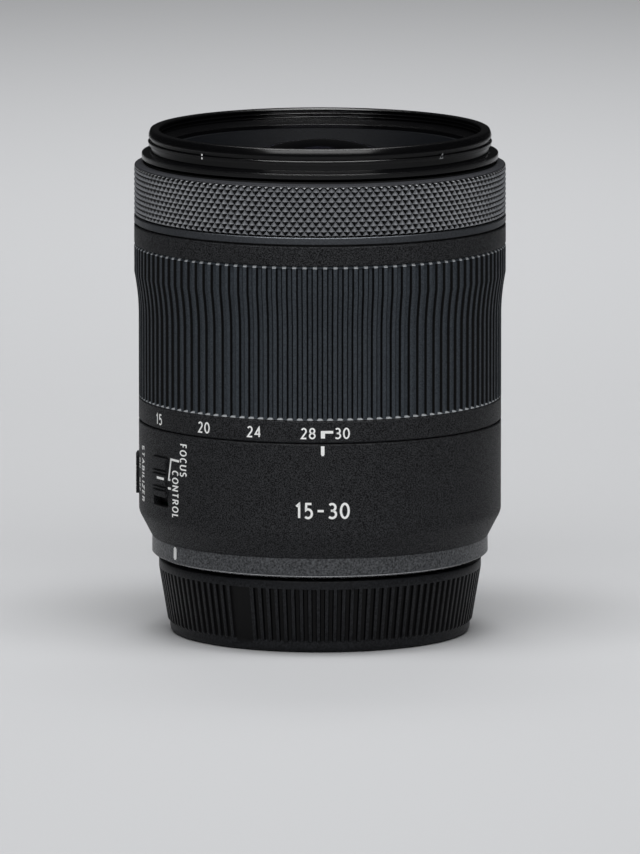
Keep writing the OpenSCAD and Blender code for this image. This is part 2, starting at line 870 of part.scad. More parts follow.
// Ring-shaped main circuit board
module main_board() {
  color("#24533a")
    ring(board_in_r, floor_in_r - board_edge, ring_z1 + face_gap, ring_z1 + face_gap + board_t);
}

// Holder of the rear element
module rear_cell() {
  color("#19191b")
    rotate_extrude()
      polygon([
        [rear_glass_r - rear_lip_w, rear_cell_z0],
        [rear_tube_r, rear_cell_z0],
        [rear_tube_r, plate_z1 + face_gap],
        [rear_flange_r, plate_z1 + face_gap],
        [rear_flange_r, rear_cell_z1],
        [rear_glass_r + pin_gap, rear_cell_z1],
        [rear_glass_r + pin_gap, rear_cell_z0 + rear_lip_t],
        [rear_glass_r - rear_lip_w, rear_cell_z0 + rear_lip_t]
      ]);
}

// Rear element of glass
module rear_element() {
  color("#3b4a52", 0.6)
    intersection() {
      translate([0, 0, rear_cell_z0 + rear_lip_t + face_gap])
        cylinder(r = rear_glass_r, h = rear_glass_t);
      translate([0, 0, rear_cell_z0 + rear_lip_t + rear_glass_t - rear_glass_curve])
        sphere(r = rear_glass_curve);
    }
}

// Fixed sleeve with straight slots for the followers of both zoom groups
module guide_barrel() {
  color("#303134")
    difference() {
      rotate_extrude()
        polygon([
          [guide_in_r, ledge_z1 + face_gap],
          [relief_r, ledge_z1 + face_gap],
          [relief_r, relief_z1],
          [guide_r, relief_z1],
          [guide_r, guide_z1],
          [guide_in_r, guide_z1]
        ]);
      around(3, front_slots_a)
        axial_slot(guide_in_r - over, guide_r + over, front_follow_z,
          front_follow_z + front_travel);
      around(3, rear_slots_a)
        axial_slot(guide_in_r - over, guide_r + over, rear_follow_z - rear_travel,
          rear_follow_z);
      arc_block(guide_in_r - over, guide_r + over, key_z - key_h / 2 - slot_gap,
        key_z + key_h / 2 + slot_gap, key_a + zoom_turn / 2, zoom_turn / 2 + key_sweep);
      arc_block(guide_in_r - over, guide_r + over, sensor_z - sensor_h / 2 - pin_gap,
        sensor_z + sensor_h / 2 + pin_gap, sensor_a, sensor_sweep + sensor_slack);
    }
}

// Ring on the front end of the fixed sleeve that keeps the control ring in place
module retaining_ring() {
  color("#1a1a1c")
    ring(tube_r + run_gap, retainer_r, guide_z1 + face_gap, guide_z1 + face_gap + retainer_t);
}

// Thin washer between the zoom ring and the control ring
module slide_washer() {
  color("#101011")
    ring(guide_r + face_gap, washer_r, washer_z0, washer_z0 + washer_t);
}

// Curved contact strip under both switches
module switch_board() {
  mid = (focus_switch_a + stabiliser_switch_a) / 2;
  half = abs(focus_switch_a - stabiliser_switch_a) / 2 + strip_margin;
  color("#24533a")
    arc_block(strip_r - strip_t, strip_r, slot_z0 - flange_over,
      slot_z1 + flange_over, mid, half);
}

// Sensor that reads the control ring, in a window of the fixed sleeve
module control_sensor() {
  color("#222226")
    arc_block(tube_r + run_gap, guide_r - face_gap, sensor_z - sensor_h / 2,
      sensor_z + sensor_h / 2, sensor_a, sensor_sweep);
}

// Rods that guide the focus frame
module guide_rods() {
  color("#b9bbbe")
    around(2, rod_a)
      pin(rod_r, rod_offset, frame_z0 + face_gap, rod_z1);
}

// Stepping motor of the focus drive
module focus_motor() {
  color("#8f9194")
    rotate([0, 0, motor_a])
      difference() {
        pin(motor_r, motor_offset, frame_z1 + face_gap, motor_z1);
        pin(lead_r + pin_gap, motor_offset, motor_z1 - lead_seat, motor_z1 + over);
      }
}

// Turning zoom ring: scale band, seat for the rubber and front rim
module zoom_ring() {
  color("#242528")
    rotate_extrude()
      polygon([
        [zoom_in_r, zoom_z0],
        [waist_r - edge, zoom_z0],
        [waist_r, zoom_z0 + edge],
        [waist_r, grip_z0 - edge],
        [waist_r - edge, grip_z0],
        [shell_r, grip_z0],
        [shell_r, grip_z1],
        [max_r - edge, grip_z1],
        [max_r, grip_z1 + edge],
        [max_r, zoom_z1 - edge],
        [max_r - edge, zoom_z1],
        [zoom_in_r, zoom_z1]
      ]);
}

// Ribbed rubber sleeve: a wide tier in front, a hollow curve and a narrow waist
module zoom_grip() {
  in_r = shell_r + face_gap;
  z0 = grip_z0 + face_gap;
  z1 = grip_z1 - face_gap;
  color("#2f3134")
    union() {
      intersection() {
        rotate_extrude()
          polygon(concat(
            [[in_r, z0], [waist_r, z0]],
            grip_curve(0),
            [[max_r, z1 - grip_end], [max_r - grip_end, z1], [in_r, z1]]
          ));
        translate([0, 0, z0])
          linear_extrude(height = z1 - z0)
            rib_outline([for (i = [0 : grip_ribs - 1]) i * 360 / grip_ribs], grip_rib_w,
              shell_r + grip_depth / 2, max_r + over);
      }
      rotate_extrude()
        polygon(concat(
          [[in_r, z0], [waist_r - face_gap, z0], [waist_r - grip_depth, z0 + grip_end]],
          grip_curve(grip_depth),
          [
            [max_r - grip_depth, z1 - grip_end],
            [max_r - grip_lip_drop, z1 - grip_end],
            [max_r - grip_lip_drop, z1 - grip_end + grip_lip_drop],
            [max_r - grip_end, z1],
            [in_r, z1]
          ]
        ));
    }
}

// Cam barrel: its slanted slots drive both zoom groups
module cam_barrel() {
  color("#8b7a4a")
    difference() {
      ring(cam_in_r, cam_r, cam_z0, cam_z1);
      around(3, front_slots_a)
        cam_slot(front_follow_z, front_travel);
      around(3, rear_slots_a)
        cam_slot(rear_follow_z, -rear_travel);
      rotate([0, 0, key_a])
        translate([cam_r, 0, key_z])
          cube([4 * cam_wall, key_w + 2 * pin_gap, key_h + 2 * pin_gap], center = true);
    }
}

// Key that couples the zoom ring to the cam barrel
module drive_key() {
  in_r = cam_in_r + run_gap;
  color("#a3a5a8")
    intersection() {
      rotate([0, 0, key_a])
        translate([in_r, -key_w / 2, key_z - key_h / 2])
          cube([zoom_in_r - in_r + over, key_w, key_h]);
      ring(in_r, zoom_in_r - face_gap, key_z - key_h, key_z + key_h);
    }
}

// Front rim with the filter thread's wall
module filter_ring() {
  thread_z1 = front_z - edge;
  thread_z0 = thread_z1 - thread_h;
  color("#141416")
    rotate_extrude()
      polygon([
        [thread_r, thread_z1],
        [thread_r + edge, front_z],
        [rim_r - edge, front_z],
        [rim_r, front_z - edge],
        [rim_r, joint_z + groove_w],
        [groove_r, joint_z + groove_w],
        [groove_r, joint_z + face_gap],
        [spigot_r, joint_z + face_gap],
        [spigot_r, seat_z],
        [lip_r, seat_z],
        [lip_r, lip_z],
        [lip_r + lip_w, lip_z],
        [thread_r, thread_z0]
      ]);
}

// Sliding front tube with its collar and the hood's channel
module front_barrel() {
  color("#17171a")
    difference() {
      rotate_extrude()
        polygon([
          [tube_in_r, tube_z0],
          [tube_r, tube_z0],
          [tube_r, collar_z0],
          [collar_r - edge, collar_z0],
          [collar_r, collar_z0 + edge],
          [collar_r, collar_z1 - collar_fall],
          [rim_r, collar_z1],
          [channel_r, collar_z1],
          [channel_r, collar_z1 + channel_h],
          [rim_r, collar_z1 + channel_h],
          [rim_r, joint_z],
          [spigot_r + face_gap, joint_z],
          [spigot_r + face_gap, front_floor_z],
          [tube_in_r, front_floor_z]
        ]);
      around(3, front_slots_a)
        radial_pin(follower_r + pin_gap, tube_in_r - over, tube_r + over, front_follow_z);
    }
}

// Sloping ring round the front element
module name_ring() {
  in_r = tube_in_r - run_gap;
  color("#2a2b2e")
    rotate_extrude()
      polygon([
        [name_in_r, name_in_z],
        [name_in_r + name_foot, name_in_z],
        [in_r, seat_z - name_drop],
        [in_r, seat_z],
        [name_r, seat_z],
        [name_r, seat_z + name_top],
        [in_r, seat_z + name_top],
        [name_in_r, name_in_z + name_lip]
      ]);
}

// Front element: a deep meniscus
module front_element() {
  color("#20262e", 0.6)
    meniscus(front_glass_r, dome_z, front_dome_r, front_seat_z, front_dish_r, front_dish_half);
}

// Second element
module second_element() {
  color("#2a333c", 0.6)
    meniscus(second_glass_r, second_top_z, second_top_r, second_seat_z, second_dish_r,
      second_dish_half);
}

// Third element
module third_element() {
  color("#2a333c", 0.6)
    biconvex(third_glass_r, third_z, third_t, third_curve_r);
}

// Cell that holds the three elements of the front group in the front tube
module front_cell() {
  web_r = tube_in_r - face_gap;
  web_z = front_seat_z - face_gap;
  color("#121214")
    rotate_extrude()
      polygon([
        [third_glass_r - cell_lip, cell_z0],
        [third_glass_r + cell_wall, cell_z0],
        [third_glass_r + cell_wall, second_seat_z - cell_wall],
        [second_glass_r + cell_wall, second_seat_z - cell_wall],
        [second_glass_r + cell_wall, web_z - web_t],
        [web_r, web_z - web_t],
        [web_r, web_z],
        [front_glass_r + cell_wall, web_z],
        [front_glass_r + cell_wall, front_edge_z],
        [front_glass_r + pin_gap, front_edge_z],
        [front_glass_r + pin_gap, web_z],
        [second_glass_r + pin_gap, web_z],
        [second_glass_r + pin_gap, second_seat_z - face_gap],
        [third_glass_r + pin_gap, second_seat_z - face_gap],
        [third_glass_r + pin_gap, cell_lip_z + cell_slope],
        [third_glass_r - cell_lip, cell_lip_z]
      ]);
}

// Rollers of the front group
module front_followers() {
  color("#c2a45c")
    around(3, front_slots_a)
      radial_pin(follower_r, tube_in_r, follower_out_r, front_follow_z);
}

// Control ring: inner ring that carries the knurled band
module control_ring() {
  color("#1d1e20")
    rotate_extrude()
      polygon([
        [zoom_in_r, control_z0],
        [knurl_in_r - face_gap, control_z0],
        [knurl_in_r - face_gap, knurl_z1 + face_gap],
        [max_r - edge / 2, knurl_z1 + face_gap],
        [collar_r + edge, control_z1],
        [recess_r, control_z1],
        [recess_r, recess_z0],
        [zoom_in_r, recess_z0]
      ]);
}

// Knurled band: crossing helical grooves leave rows of four-sided points
module knurled_band() {
  rows = round(2 * knurl_h / knurl_pitch);
  cols = 2 * knurl_count;
  z0 = knurl_z0;
  row_h = knurl_h / rows;
  outside = [
    for (j = [0 : rows])
      for (k = [0 : cols - 1])
        let (r = max_r - ((j + k) % 2 == 0 ? 0 : knurl_depth))
        [r * cos(k * 360 / cols), r * sin(k * 360 / cols), z0 + j * row_h]
  ];
  inside = [
    for (j = [0, 1])
      for (k = [0 : cols - 1])
        [knurl_in_r * cos(k * 360 / cols), knurl_in_r * sin(k * 360 / cols), z0 + j * knurl_h]
  ];
  top = rows * cols;
  bore = len(outside);
  facets = [
    for (j = [0 : rows - 1])
      for (k = [0 : cols - 1])
        let (
          a = j * cols + k,
          b = j * cols + (k + 1) % cols,
          c = a + cols,
          d = b + cols
        )
        each (j + k) % 2 == 0 ? [[a, c, b], [b, c, d]] : [[a, c, d], [a, d, b]]
  ];
  ends = [
    for (k = [0 : cols - 1])
      let (n = (k + 1) % cols)
      each [
        [k, n, bore + k], [n, bore + n, bore + k],
        [top + n, top + k, bore + cols + k], [top + n, bore + cols + k, bore + cols + n],
        [bore + k, bore + n, bore + cols + k], [bore + n, bore + cols + n, bore + cols + k]
      ]
  ];
  color("#3a3b3e")
    polyhedron(points = concat(outside, inside), faces = concat(facets, ends));
}

// Bright trim ring at the foot of the control ring
module trim_ring() {
  color("#55575b")
    rotate_extrude()
      polygon([
        [knurl_in_r, control_z0],
        [max_r, control_z0],
        [max_r, control_z0 + trim_h / 2],
        [max_r - edge, trim_z1],
        [knurl_in_r, trim_z1]
      ]);
}

// Carriage of the rear zoom group, with posts for the stabiliser's guide shaft
module carriage() {
  color("#26272a")
    difference() {
      union() {
        rotate_extrude()
          polygon([
            [carriage_bore_r, carriage_z0],
            [tube_r, carriage_z0],
            [tube_r, carriage_z1],
            [carriage_in_r, carriage_z1],
            [carriage_in_r, iris_z0 - face_gap],
            [carriage_ledge_r, iris_z0 - face_gap],
            [carriage_ledge_r, stage_z],
            [carriage_bore_r, stage_z]
          ]);
        for (x = bearing_places)
          translate([x - bearing_l / 2, -shaft_offset - bearing_w / 2, stage_z - root])
            cube([bearing_l, bearing_w, shaft_z + bearing_top - stage_z + root]);
      }
      translate([-shaft_offset, -shaft_offset, shaft_z])
        rotate([0, 90, 0])
          cylinder(r = shaft_r + pin_gap, h = shaft_offset + shaft_reach + 2 * over);
      around(3, rear_slots_a)
        radial_pin(follower_r + pin_gap, carriage_ledge_r - over, tube_r + over, rear_follow_z);
    }
}

// Rollers of the carriage
module carriage_followers() {
  color("#c2a45c")
    around(3, rear_slots_a)
      radial_pin(follower_r, carriage_in_r + frame_gap, follower_out_r, rear_follow_z);
}

// Element on the iris cover
module carriage_element() {
  color("#2a333c", 0.6)
    biconvex(carriage_glass_r, carriage_glass_z, carriage_glass_t, carriage_glass_curve);
}

// Base plate of the iris with the blades' pivots
module iris_base() {
  color("#3a3b3d")
    union() {
      ring(base_in_r, iris_plate_r, iris_z0, iris_z1);
      around(blade_count)
        pin(pivot_r, pivot_circle_r, iris_z1 - root, drive_z0 + pivot_top);
    }
}

// Cover of the iris: it guides the drive ring and carries the element above
module iris_cover() {
  color("#3a3b3d")
    rotate_extrude()
      polygon([
        [cover_in_r, cover_z0],
        [drive_lip_r, cover_z0],
        [drive_lip_r, drive_z0],
        [drive_lip_r + drive_lip_w, drive_z0],
        [drive_lip_r + drive_lip_w, cover_z0],
        [iris_plate_r, cover_z0],
        [iris_plate_r, cover_z1],
        [collar_in_r + collar_wall, cover_z1],
        [collar_in_r + collar_wall, cover_z1 + collar_top],
        [collar_in_r, cover_z1 + collar_top],
        [collar_in_r, cover_z1],
        [cover_in_r, cover_z1]
      ]);
}

// Small motor of the iris
module iris_motor() {
  color("#8f9194")
    rotate([0, 0, iris_motor_a])
      pin(iris_motor_r, iris_motor_offset, cover_z1 + face_gap, carriage_z1 - iris_motor_gap);
}

// Drive ring with one radial slot for each blade's pin
module iris_ring() {
  slot_w = 2 * (drive_r + 2 * pin_gap);
  slot_in_r = drive_close_r - drive_r - drive_slack;
  slot_out_r = drive_circle_r + drive_r + drive_slack;
  color("#6b6d70")
    difference() {
      ring(drive_in_r, drive_out_r, drive_z0, drive_z1);
      around(blade_count)
        translate([slot_in_r, -slot_w / 2, drive_z0 - over])
          cube([slot_out_r - slot_in_r, slot_w, drive_ring_t + 2 * over]);
    }
}

// One crescent blade with its pivot eye and its drive pin, on its own level
module iris_blade(i) {
  z = blade_z + i * blade_step;
  mid_r = (open_r + blade_out_r) / 2;
  half = (blade_out_r - open_r) / 2;
  reach = 2 * blade_out_r;
  color("#4a4b4e")
    rotate([0, 0, i * 360 / blade_count]) {
      translate([0, 0, z])
        linear_extrude(height = blade_t)
          difference() {
            union() {
              intersection() {
                difference() {
                  circle(r = blade_out_r);
                  circle(r = open_r);
                }
                polygon(concat([[0, 0]],
                  [for (a = [0, 0.34, 0.67, 1]) reach * [cos(a * blade_sweep), sin(a * blade_sweep)]]));
              }
              rotate(blade_sweep)
                translate([mid_r, 0])
                  circle(r = half);
              translate([mid_r, 0])
                circle(r = half);
              translate([mid_r, -blade_ear_r])
                square([drive_circle_r - mid_r, 2 * blade_ear_r]);
              translate([pivot_circle_r, 0])
                circle(r = blade_head_r);
              translate([drive_circle_r, 0])
                circle(r = blade_ear_r);
            }
            translate([pivot_circle_r, 0])
              circle(r = pivot_r + pin_gap);
          }
      pin(drive_r, drive_circle_r, z, drive_pin_z1);
    }
}

module iris_blade_1() { iris_blade(0); }
module iris_blade_2() { iris_blade(1); }
module iris_blade_3() { iris_blade(2); }
module iris_blade_4() { iris_blade(3); }
module iris_blade_5() { iris_blade(4); }
module iris_blade_6() { iris_blade(5); }
module iris_blade_7() { iris_blade(6); }

// Magnets of the stabiliser on the carriage's floor
module stabiliser_magnets() {
  color("#a9abae")
    for (a = [0, 90])
      rotate([0, 0, a])
        translate([coil_offset - magnet_w / 2, -magnet_w / 2, stage_z + face_gap])
          cube([magnet_w, magnet_w, magnet_t]);
}

// Bent guide shaft: one leg slides in the carriage, the stabiliser frame slides on the other
module stabiliser_shaft() {
  leg = shaft_offset + shaft_reach;
  color("#b9bbbe")
    translate([-shaft_offset, -shaft_offset, shaft_z])
      union() {
        rotate([0, 90, 0])
          cylinder(r = shaft_r, h = leg);
        rotate([-90, 0, 0])
          cylinder(r = shaft_r, h = leg);
        sphere(r = shaft_r);
      }
}

// Frame that shifts the stabiliser's element across the axis
module stabiliser_frame() {
  arm_half = coil_r + coil_margin;
  bearing_span = bearing_places[1] - bearing_places[0] + bearing_l;
  color("#1f2023")
    difference() {
      union() {
        translate([0, 0, hub_z0])
          cylinder(r = stage_hub_r, h = stage_hub_h);
        for (a = [0, 90])
          rotate([0, 0, a])
            translate([arm_root_r, -arm_half, hub_z0])
              cube([coil_offset + arm_half - arm_root_r, 2 * arm_half, arm_t]);
        translate([-shaft_offset - bearing_w / 2, bearing_places[0] - bearing_l / 2, hub_z0])
          cube([shaft_offset + bearing_w / 2 - stabiliser_glass_r + over, bearing_span, arm_t]);
        for (y = bearing_places)
          translate([-shaft_offset - bearing_w / 2, y - bearing_l / 2, hub_z0])
            cube([bearing_w, bearing_l, shaft_z + bearing_top - hub_z0]);
      }
      translate([0, 0, hub_z0 - over])
        cylinder(r = stabiliser_glass_r + pin_gap, h = stage_hub_h + 2 * over);
      translate([-shaft_offset, -shaft_offset, shaft_z])
        rotate([-90, 0, 0])
          cylinder(r = shaft_r + pin_gap, h = shaft_offset + shaft_reach + 2 * over);
    }
}

// Element that the stabiliser moves
module stabiliser_element() {
  color("#2a333c", 0.6)
    biconvex(stabiliser_glass_r, (hub_z0 + hub_z1) / 2, stage_hub_h, stage_curve);
}

// Flat coils of the stabiliser
module stabiliser_coils() {
  color("#b06a35")
    for (a = [0, 90])
      rotate([0, 0, a])
        translate([coil_offset, 0, 0])
          ring(coil_hole_r, coil_r, hub_z0 + arm_t + face_gap, hub_z0 + arm_t + face_gap + coil_t);
}

// Focus frame: hub, sleeve on one rod, fork on the other and an eye for the nut
module focus_frame() {
  hub_r = focus_glass_r + pin_gap + focus_hub_wall;
  hub_z = focus_z - focus_hub_h / 2;
  arm_z = nut_z - nut_t / 2;
  arm_root = focus_glass_r + over;
  eye_r = nut_r + sleeve_wall;
  sleeve_r = rod_r + sleeve_wall;
  color("#1f2023")
    difference() {
      union() {
        translate([0, 0, hub_z])
          cylinder(r = hub_r, h = focus_hub_h);
        around(2, rod_a)
          translate([arm_root, -arm_w / 2, arm_z])
            cube([rod_offset - arm_root, arm_w, nut_t]);
        rotate([0, 0, rod_a])
          pin(sleeve_r, rod_offset, focus_z - sleeve_h / 2, focus_z + sleeve_h / 2);
        rotate([0, 0, rod_a + 180])
          pin(sleeve_r, rod_offset, arm_z, arm_z + nut_t);
        rotate([0, 0, motor_a])
          translate([arm_root, -arm_w / 2, arm_z])
            cube([motor_offset - arm_root, arm_w, nut_t]);
        rotate([0, 0, motor_a])
          pin(eye_r, motor_offset, arm_z, arm_z + nut_t);
      }
      translate([0, 0, hub_z - over])
        cylinder(r = focus_glass_r + pin_gap, h = focus_hub_h + 2 * over);
      around(2, rod_a)
        pin(rod_r + pin_gap, rod_offset, focus_z - sleeve_h, focus_z + sleeve_h);
      rotate([0, 0, motor_a])
        pin(nut_r + pin_gap, motor_offset, focus_z - sleeve_h, focus_z + sleeve_h);
    }
}

// Focus element
module focus_element() {
  color("#2a333c", 0.6)
    biconvex(focus_glass_r, focus_z, focus_hub_h, focus_curve);
}

// Nut of the focus drive
module focus_nut() {
  color("#c2a45c")
    rotate([0, 0, motor_a])
      difference() {
        pin(nut_r, motor_offset, nut_z - nut_t / 2, nut_z + nut_t / 2);
        pin(lead_r + pin_gap, motor_offset, nut_z - nut_t, nut_z + nut_t);
      }
}

// Lead screw of the focus drive
module lead_screw() {
  color("#b9bbbe")
    rotate([0, 0, motor_a])
      pin(lead_r, motor_offset, motor_z1 - lead_seat + pin_gap, rod_z1);
}

// Sliding switch: a ridged knob in its slot, held by a flange inside the barrel
module slide_switch(a, back) {
  color("#1b1b1d")
    translate([0, 0, -back])
      difference() {
        union() {
          arc_block(flange_r - flange_t / 2, knob_r, knob_z0, knob_z1, a, knob_half);
          arc_block(flange_r - flange_t, flange_r, knob_z0 - flange_over, knob_z1 + flange_over, a,
            flange_half);
        }
        for (p = knob_groove_places)
          ring(knob_r - knob_groove_d, knob_r + over,
            knob_z0 + p * knob_h - knob_groove_w / 2, knob_z0 + p * knob_h + knob_groove_w / 2);
      }
}

module focus_switch() { slide_switch(focus_switch_a, 0); }
module stabiliser_switch() { slide_switch(stabiliser_switch_a, switch_travel); }

// Rear cap with ribs, a smooth strip and three inner lugs
module rear_cap() {
  core_r = cap_r - cap_rib_depth;
  core_foot_r = cap_foot_r - cap_rib_depth;
  rib_angles = [for (i = [0 : cap_ribs - 1]) cap_rib_a + i * cap_rib_step];
  color("#1a1b1d")
    difference() {
      union() {
        rotate_extrude()
          polygon([
            [0, 0],
            [core_foot_r - cap_round, 0],
            [core_foot_r, cap_round],
            [core_foot_r, cap_foot_h],
            [core_r, cap_lip_z],
            [cap_r, cap_lip_z],
            [cap_r, cap_h - edge],
            [cap_r - edge, cap_h],
            [0, cap_h]
          ]);
        intersection() {
          rotate_extrude()
            polygon([
              [cap_bore_r, cap_foot_h],
              [core_foot_r, cap_foot_h],
              [cap_foot_r, cap_foot_h + cap_rib_depth],
              [cap_r, cap_lip_z],
              [cap_r, cap_lip_z + edge],
              [cap_bore_r, cap_lip_z + edge]
            ]);
          linear_extrude(height = cap_h)
            rib_outline(rib_angles, cap_rib_w, cap_bore_r + root, cap_r + over);
        }
      }
      difference() {
        translate([0, 0, cap_floor])
          cylinder(r = cap_bore_r, h = cap_h);
        for (i = [0 : 2])
          arc_block(cap_lug_in_r, cap_bore_r + over, cap_lug_z0, cap_h - edge, index_a + i * 120,
            lug_sweep / 2);
      }
    }
}

outer_barrel();
mount_ring();
bayonet_mount();
mount_screws();
contact_block();
contact_pins();
rear_frame();
main_board();
rear_cell();
rear_element();
guide_barrel();
retaining_ring();
slide_washer();
switch_board();
control_sensor();
guide_rods();
focus_motor();
zoom_ring();
zoom_grip();
cam_barrel();
drive_key();
filter_ring();
front_barrel();
name_ring();
front_element();
second_element();
third_element();
front_cell();
front_followers();
control_ring();
knurled_band();
trim_ring();
carriage();
carriage_followers();
carriage_element();
iris_base();
iris_cover();
iris_motor();
stabiliser_magnets();
stabiliser_shaft();
stabiliser_frame();
stabiliser_element();
stabiliser_coils();
iris_ring();
iris_blade_1();
iris_blade_2();
iris_blade_3();
iris_blade_4();
iris_blade_5();
iris_blade_6();
iris_blade_7();
focus_frame();
focus_element();
focus_nut();
lead_screw();
focus_switch();
stabiliser_switch();
rear_cap();
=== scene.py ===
"""Looks of a wide-angle zoom lens that stands on its rear cap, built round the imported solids."""

import json
import math

import bmesh
import bpy
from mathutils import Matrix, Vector


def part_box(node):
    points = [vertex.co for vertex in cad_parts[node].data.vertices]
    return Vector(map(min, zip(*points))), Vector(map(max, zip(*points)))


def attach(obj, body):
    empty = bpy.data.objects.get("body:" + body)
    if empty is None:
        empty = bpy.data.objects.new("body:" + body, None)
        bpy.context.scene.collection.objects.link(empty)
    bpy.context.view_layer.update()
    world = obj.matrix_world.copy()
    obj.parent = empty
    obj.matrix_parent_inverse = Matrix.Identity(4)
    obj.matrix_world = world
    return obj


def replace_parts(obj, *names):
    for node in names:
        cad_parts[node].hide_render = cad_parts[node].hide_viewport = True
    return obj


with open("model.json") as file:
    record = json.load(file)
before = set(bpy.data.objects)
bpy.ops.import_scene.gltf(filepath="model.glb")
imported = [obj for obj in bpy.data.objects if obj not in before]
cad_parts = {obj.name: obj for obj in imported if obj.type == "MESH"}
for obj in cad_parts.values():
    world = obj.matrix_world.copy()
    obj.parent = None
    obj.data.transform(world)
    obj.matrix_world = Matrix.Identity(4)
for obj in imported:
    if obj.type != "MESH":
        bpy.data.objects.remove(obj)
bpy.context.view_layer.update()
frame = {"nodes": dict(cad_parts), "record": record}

mm = 0.001
turn = 2 * math.pi

# Points of a skin that lie closer than this are one point
seam = 0.004 * mm

# Columns of a plain round skin
ring_columns = 240


# Sizes of the solids

def radius_of(node):
    """Largest radius of a round node about the optical axis."""
    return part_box(node)[1].x


def span_of(node):
    """Lowest and highest point of a node along the optical axis."""
    low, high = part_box(node)
    return low.z, high.z


waist_r = radius_of("outer_barrel")
max_r = radius_of("trim_ring")
ring_r = radius_of("mount_ring")
rim_r = radius_of("filter_ring")
cap_r = radius_of("rear_cap")
barrel_top = span_of("outer_barrel")[1]
scale_low = span_of("zoom_ring")[0]
grip_low, grip_top = span_of("zoom_grip")
knurl_low, knurl_top = span_of("knurled_band")
ring_low, ring_top = span_of("mount_ring")
filter_low, front_z = span_of("filter_ring")
cap_top = span_of("rear_cap")[1]
band_bore_r = 37.3 * mm


# Colours and nodes

def linear(hex_colour):
    """Linear colour of an sRGB hex value."""
    channels = [int(hex_colour[i:i + 2], 16) / 255 for i in (1, 3, 5)]
    return [c / 12.92 if c <= 0.04045 else ((c + 0.055) / 1.055) ** 2.4 for c in channels] + [1.0]


def add(tree, kind, links=None, **settings):
    """New node with its settings, and its inputs linked or set."""
    node = tree.nodes.new(kind)
    for key, value in settings.items():
        setattr(node, key, value)
    for key, value in (links or {}).items():
        if isinstance(value, bpy.types.NodeSocket):
            tree.links.new(value, node.inputs[key])
        else:
            node.inputs[key].default_value = value
    return node


def finish(name, **sockets):
    """Material with a plain shader, whose uniform values sit on the shader's own sockets."""
    material = bpy.data.materials.new(name)
    material.use_nodes = True
    shader = material.node_tree.nodes["Principled BSDF"]
    for key, value in sockets.items():
        shader.inputs[key.replace("_", " ")].default_value = value
    return material


def grain(
        material, size, depth, colours, rough, detail=2.0, stretch=(1, 1, 1),
        groove=None, painted_highlight=None, edge=0.0):
    """Moulded or blasted grain: cells of a real size that dent the surface and vary its colour and gloss.

    A colour given for painted shade, and one given for a painted highlight, each shows where the piece's own
    attribute of that name is 1. An edge radius softens the hard edges of a solid, so that they catch the
    light."""
    tint_low = 0.35
    tint_high = 0.68
    gloss_low = 0.3
    gloss_high = 0.7
    tree = material.node_tree
    shader = tree.nodes["Principled BSDF"]
    place = add(tree, "ShaderNodeTexCoord")
    mapped = add(tree, "ShaderNodeMapping", {"Vector": place.outputs["Object"], "Scale": stretch})
    cells = add(tree, "ShaderNodeTexNoise", {
        "Vector": mapped.outputs[0], "Scale": 1 / size, "Detail": detail, "Roughness": 0.6})
    tint = add(tree, "ShaderNodeValToRGB", {"Fac": cells.outputs[0]})
    tint.color_ramp.elements[0].position = tint_low
    tint.color_ramp.elements[1].position = tint_high
    tint.color_ramp.elements[0].color = linear(colours[0])
    tint.color_ramp.elements[1].color = linear(colours[1])
    gloss = add(tree, "ShaderNodeMapRange", {
        "Value": cells.outputs[0], "From Min": gloss_low, "From Max": gloss_high,
        "To Min": rough[0], "To Max": rough[1]})
    dents = add(tree, "ShaderNodeBump", {"Height": cells.outputs[0], "Distance": depth, "Strength": 1.0})
    if edge:
        softened = add(tree, "ShaderNodeBevel", {"Radius": edge}, samples=6)
        tree.links.new(softened.outputs[0], dents.inputs["Normal"])
    colour = tint.outputs[0]
    # Painted shade and painted highlight, laid over the grain's own colour
    for name, other in (("groove", groove), ("painted_highlight", painted_highlight)):
        if other:
            share = add(tree, "ShaderNodeAttribute", attribute_name=name)
            colour = add(tree, "ShaderNodeMix", {
                0: share.outputs["Fac"], 6: colour, 7: linear(other)}, data_type="RGBA").outputs[2]
    tree.links.new(colour, shader.inputs["Base Color"])
    tree.links.new(gloss.outputs[0], shader.inputs["Roughness"])
    tree.links.new(dents.outputs[0], shader.inputs["Normal"])
    return material


def turned(material, pitch, depth, rings=False):
    """Fine lines round the optical axis, as a lathe leaves them, on top of the surface's own grain."""
    waves_per_turn = 20  # a wave texture of scale 1 repeats this often over a length of 2 pi
    tree = material.node_tree
    shader = tree.nodes["Principled BSDF"]
    place = add(tree, "ShaderNodeTexCoord")
    scale = turn / (waves_per_turn * pitch)
    lines = add(tree, "ShaderNodeTexWave", {
        "Vector": place.outputs["Object"], "Scale": scale, "Distortion": 1.5, "Detail": 2.0,
        "Detail Scale": 0.4}, wave_type="RINGS" if rings else "BANDS", wave_profile="SIN")
    lines.bands_direction = "Z"
    lines.rings_direction = "Z"
    cut = add(tree, "ShaderNodeBump", {"Height": lines.outputs[1], "Distance": depth, "Strength": 0.6})
    if shader.inputs["Normal"].links:
        tree.links.new(shader.inputs["Normal"].links[0].from_socket, cut.inputs["Normal"])
    tree.links.new(cut.outputs[0], shader.inputs["Normal"])
    return material


# Materials

# A pixel of the render is about 0.2 mm. Grain and lathe lines that are finer on the real surface are drawn
# coarser here, so that they show

# Black polycarbonate from a spark-eroded mould: near black, with a fine even grain, a little paler on its
# tips. It is drawn at 0.20 mm, coarser than the 0.15 mm that such a mould usually leaves
barrel_plastic = grain(
    finish("moulded_polycarbonate_spark_grain", Specular_IOR_Level=0.12),
    0.20 * mm, 0.05 * mm, ("#08080a", "#363739"), (0.62, 0.40), 0.0, edge=0.2 * mm)

# Black nylon of the rear cap: darker and a little glossier than the barrel, with painted shade that blackens
# the grooves between its ribs and its recessed plain strip
cap_nylon = grain(
    finish("moulded_nylon_fine_grain", Specular_IOR_Level=0.16),
    0.40 * mm, 0.020 * mm, ("#0e0f11", "#26272a"), (0.50, 0.38), groove="#020203")
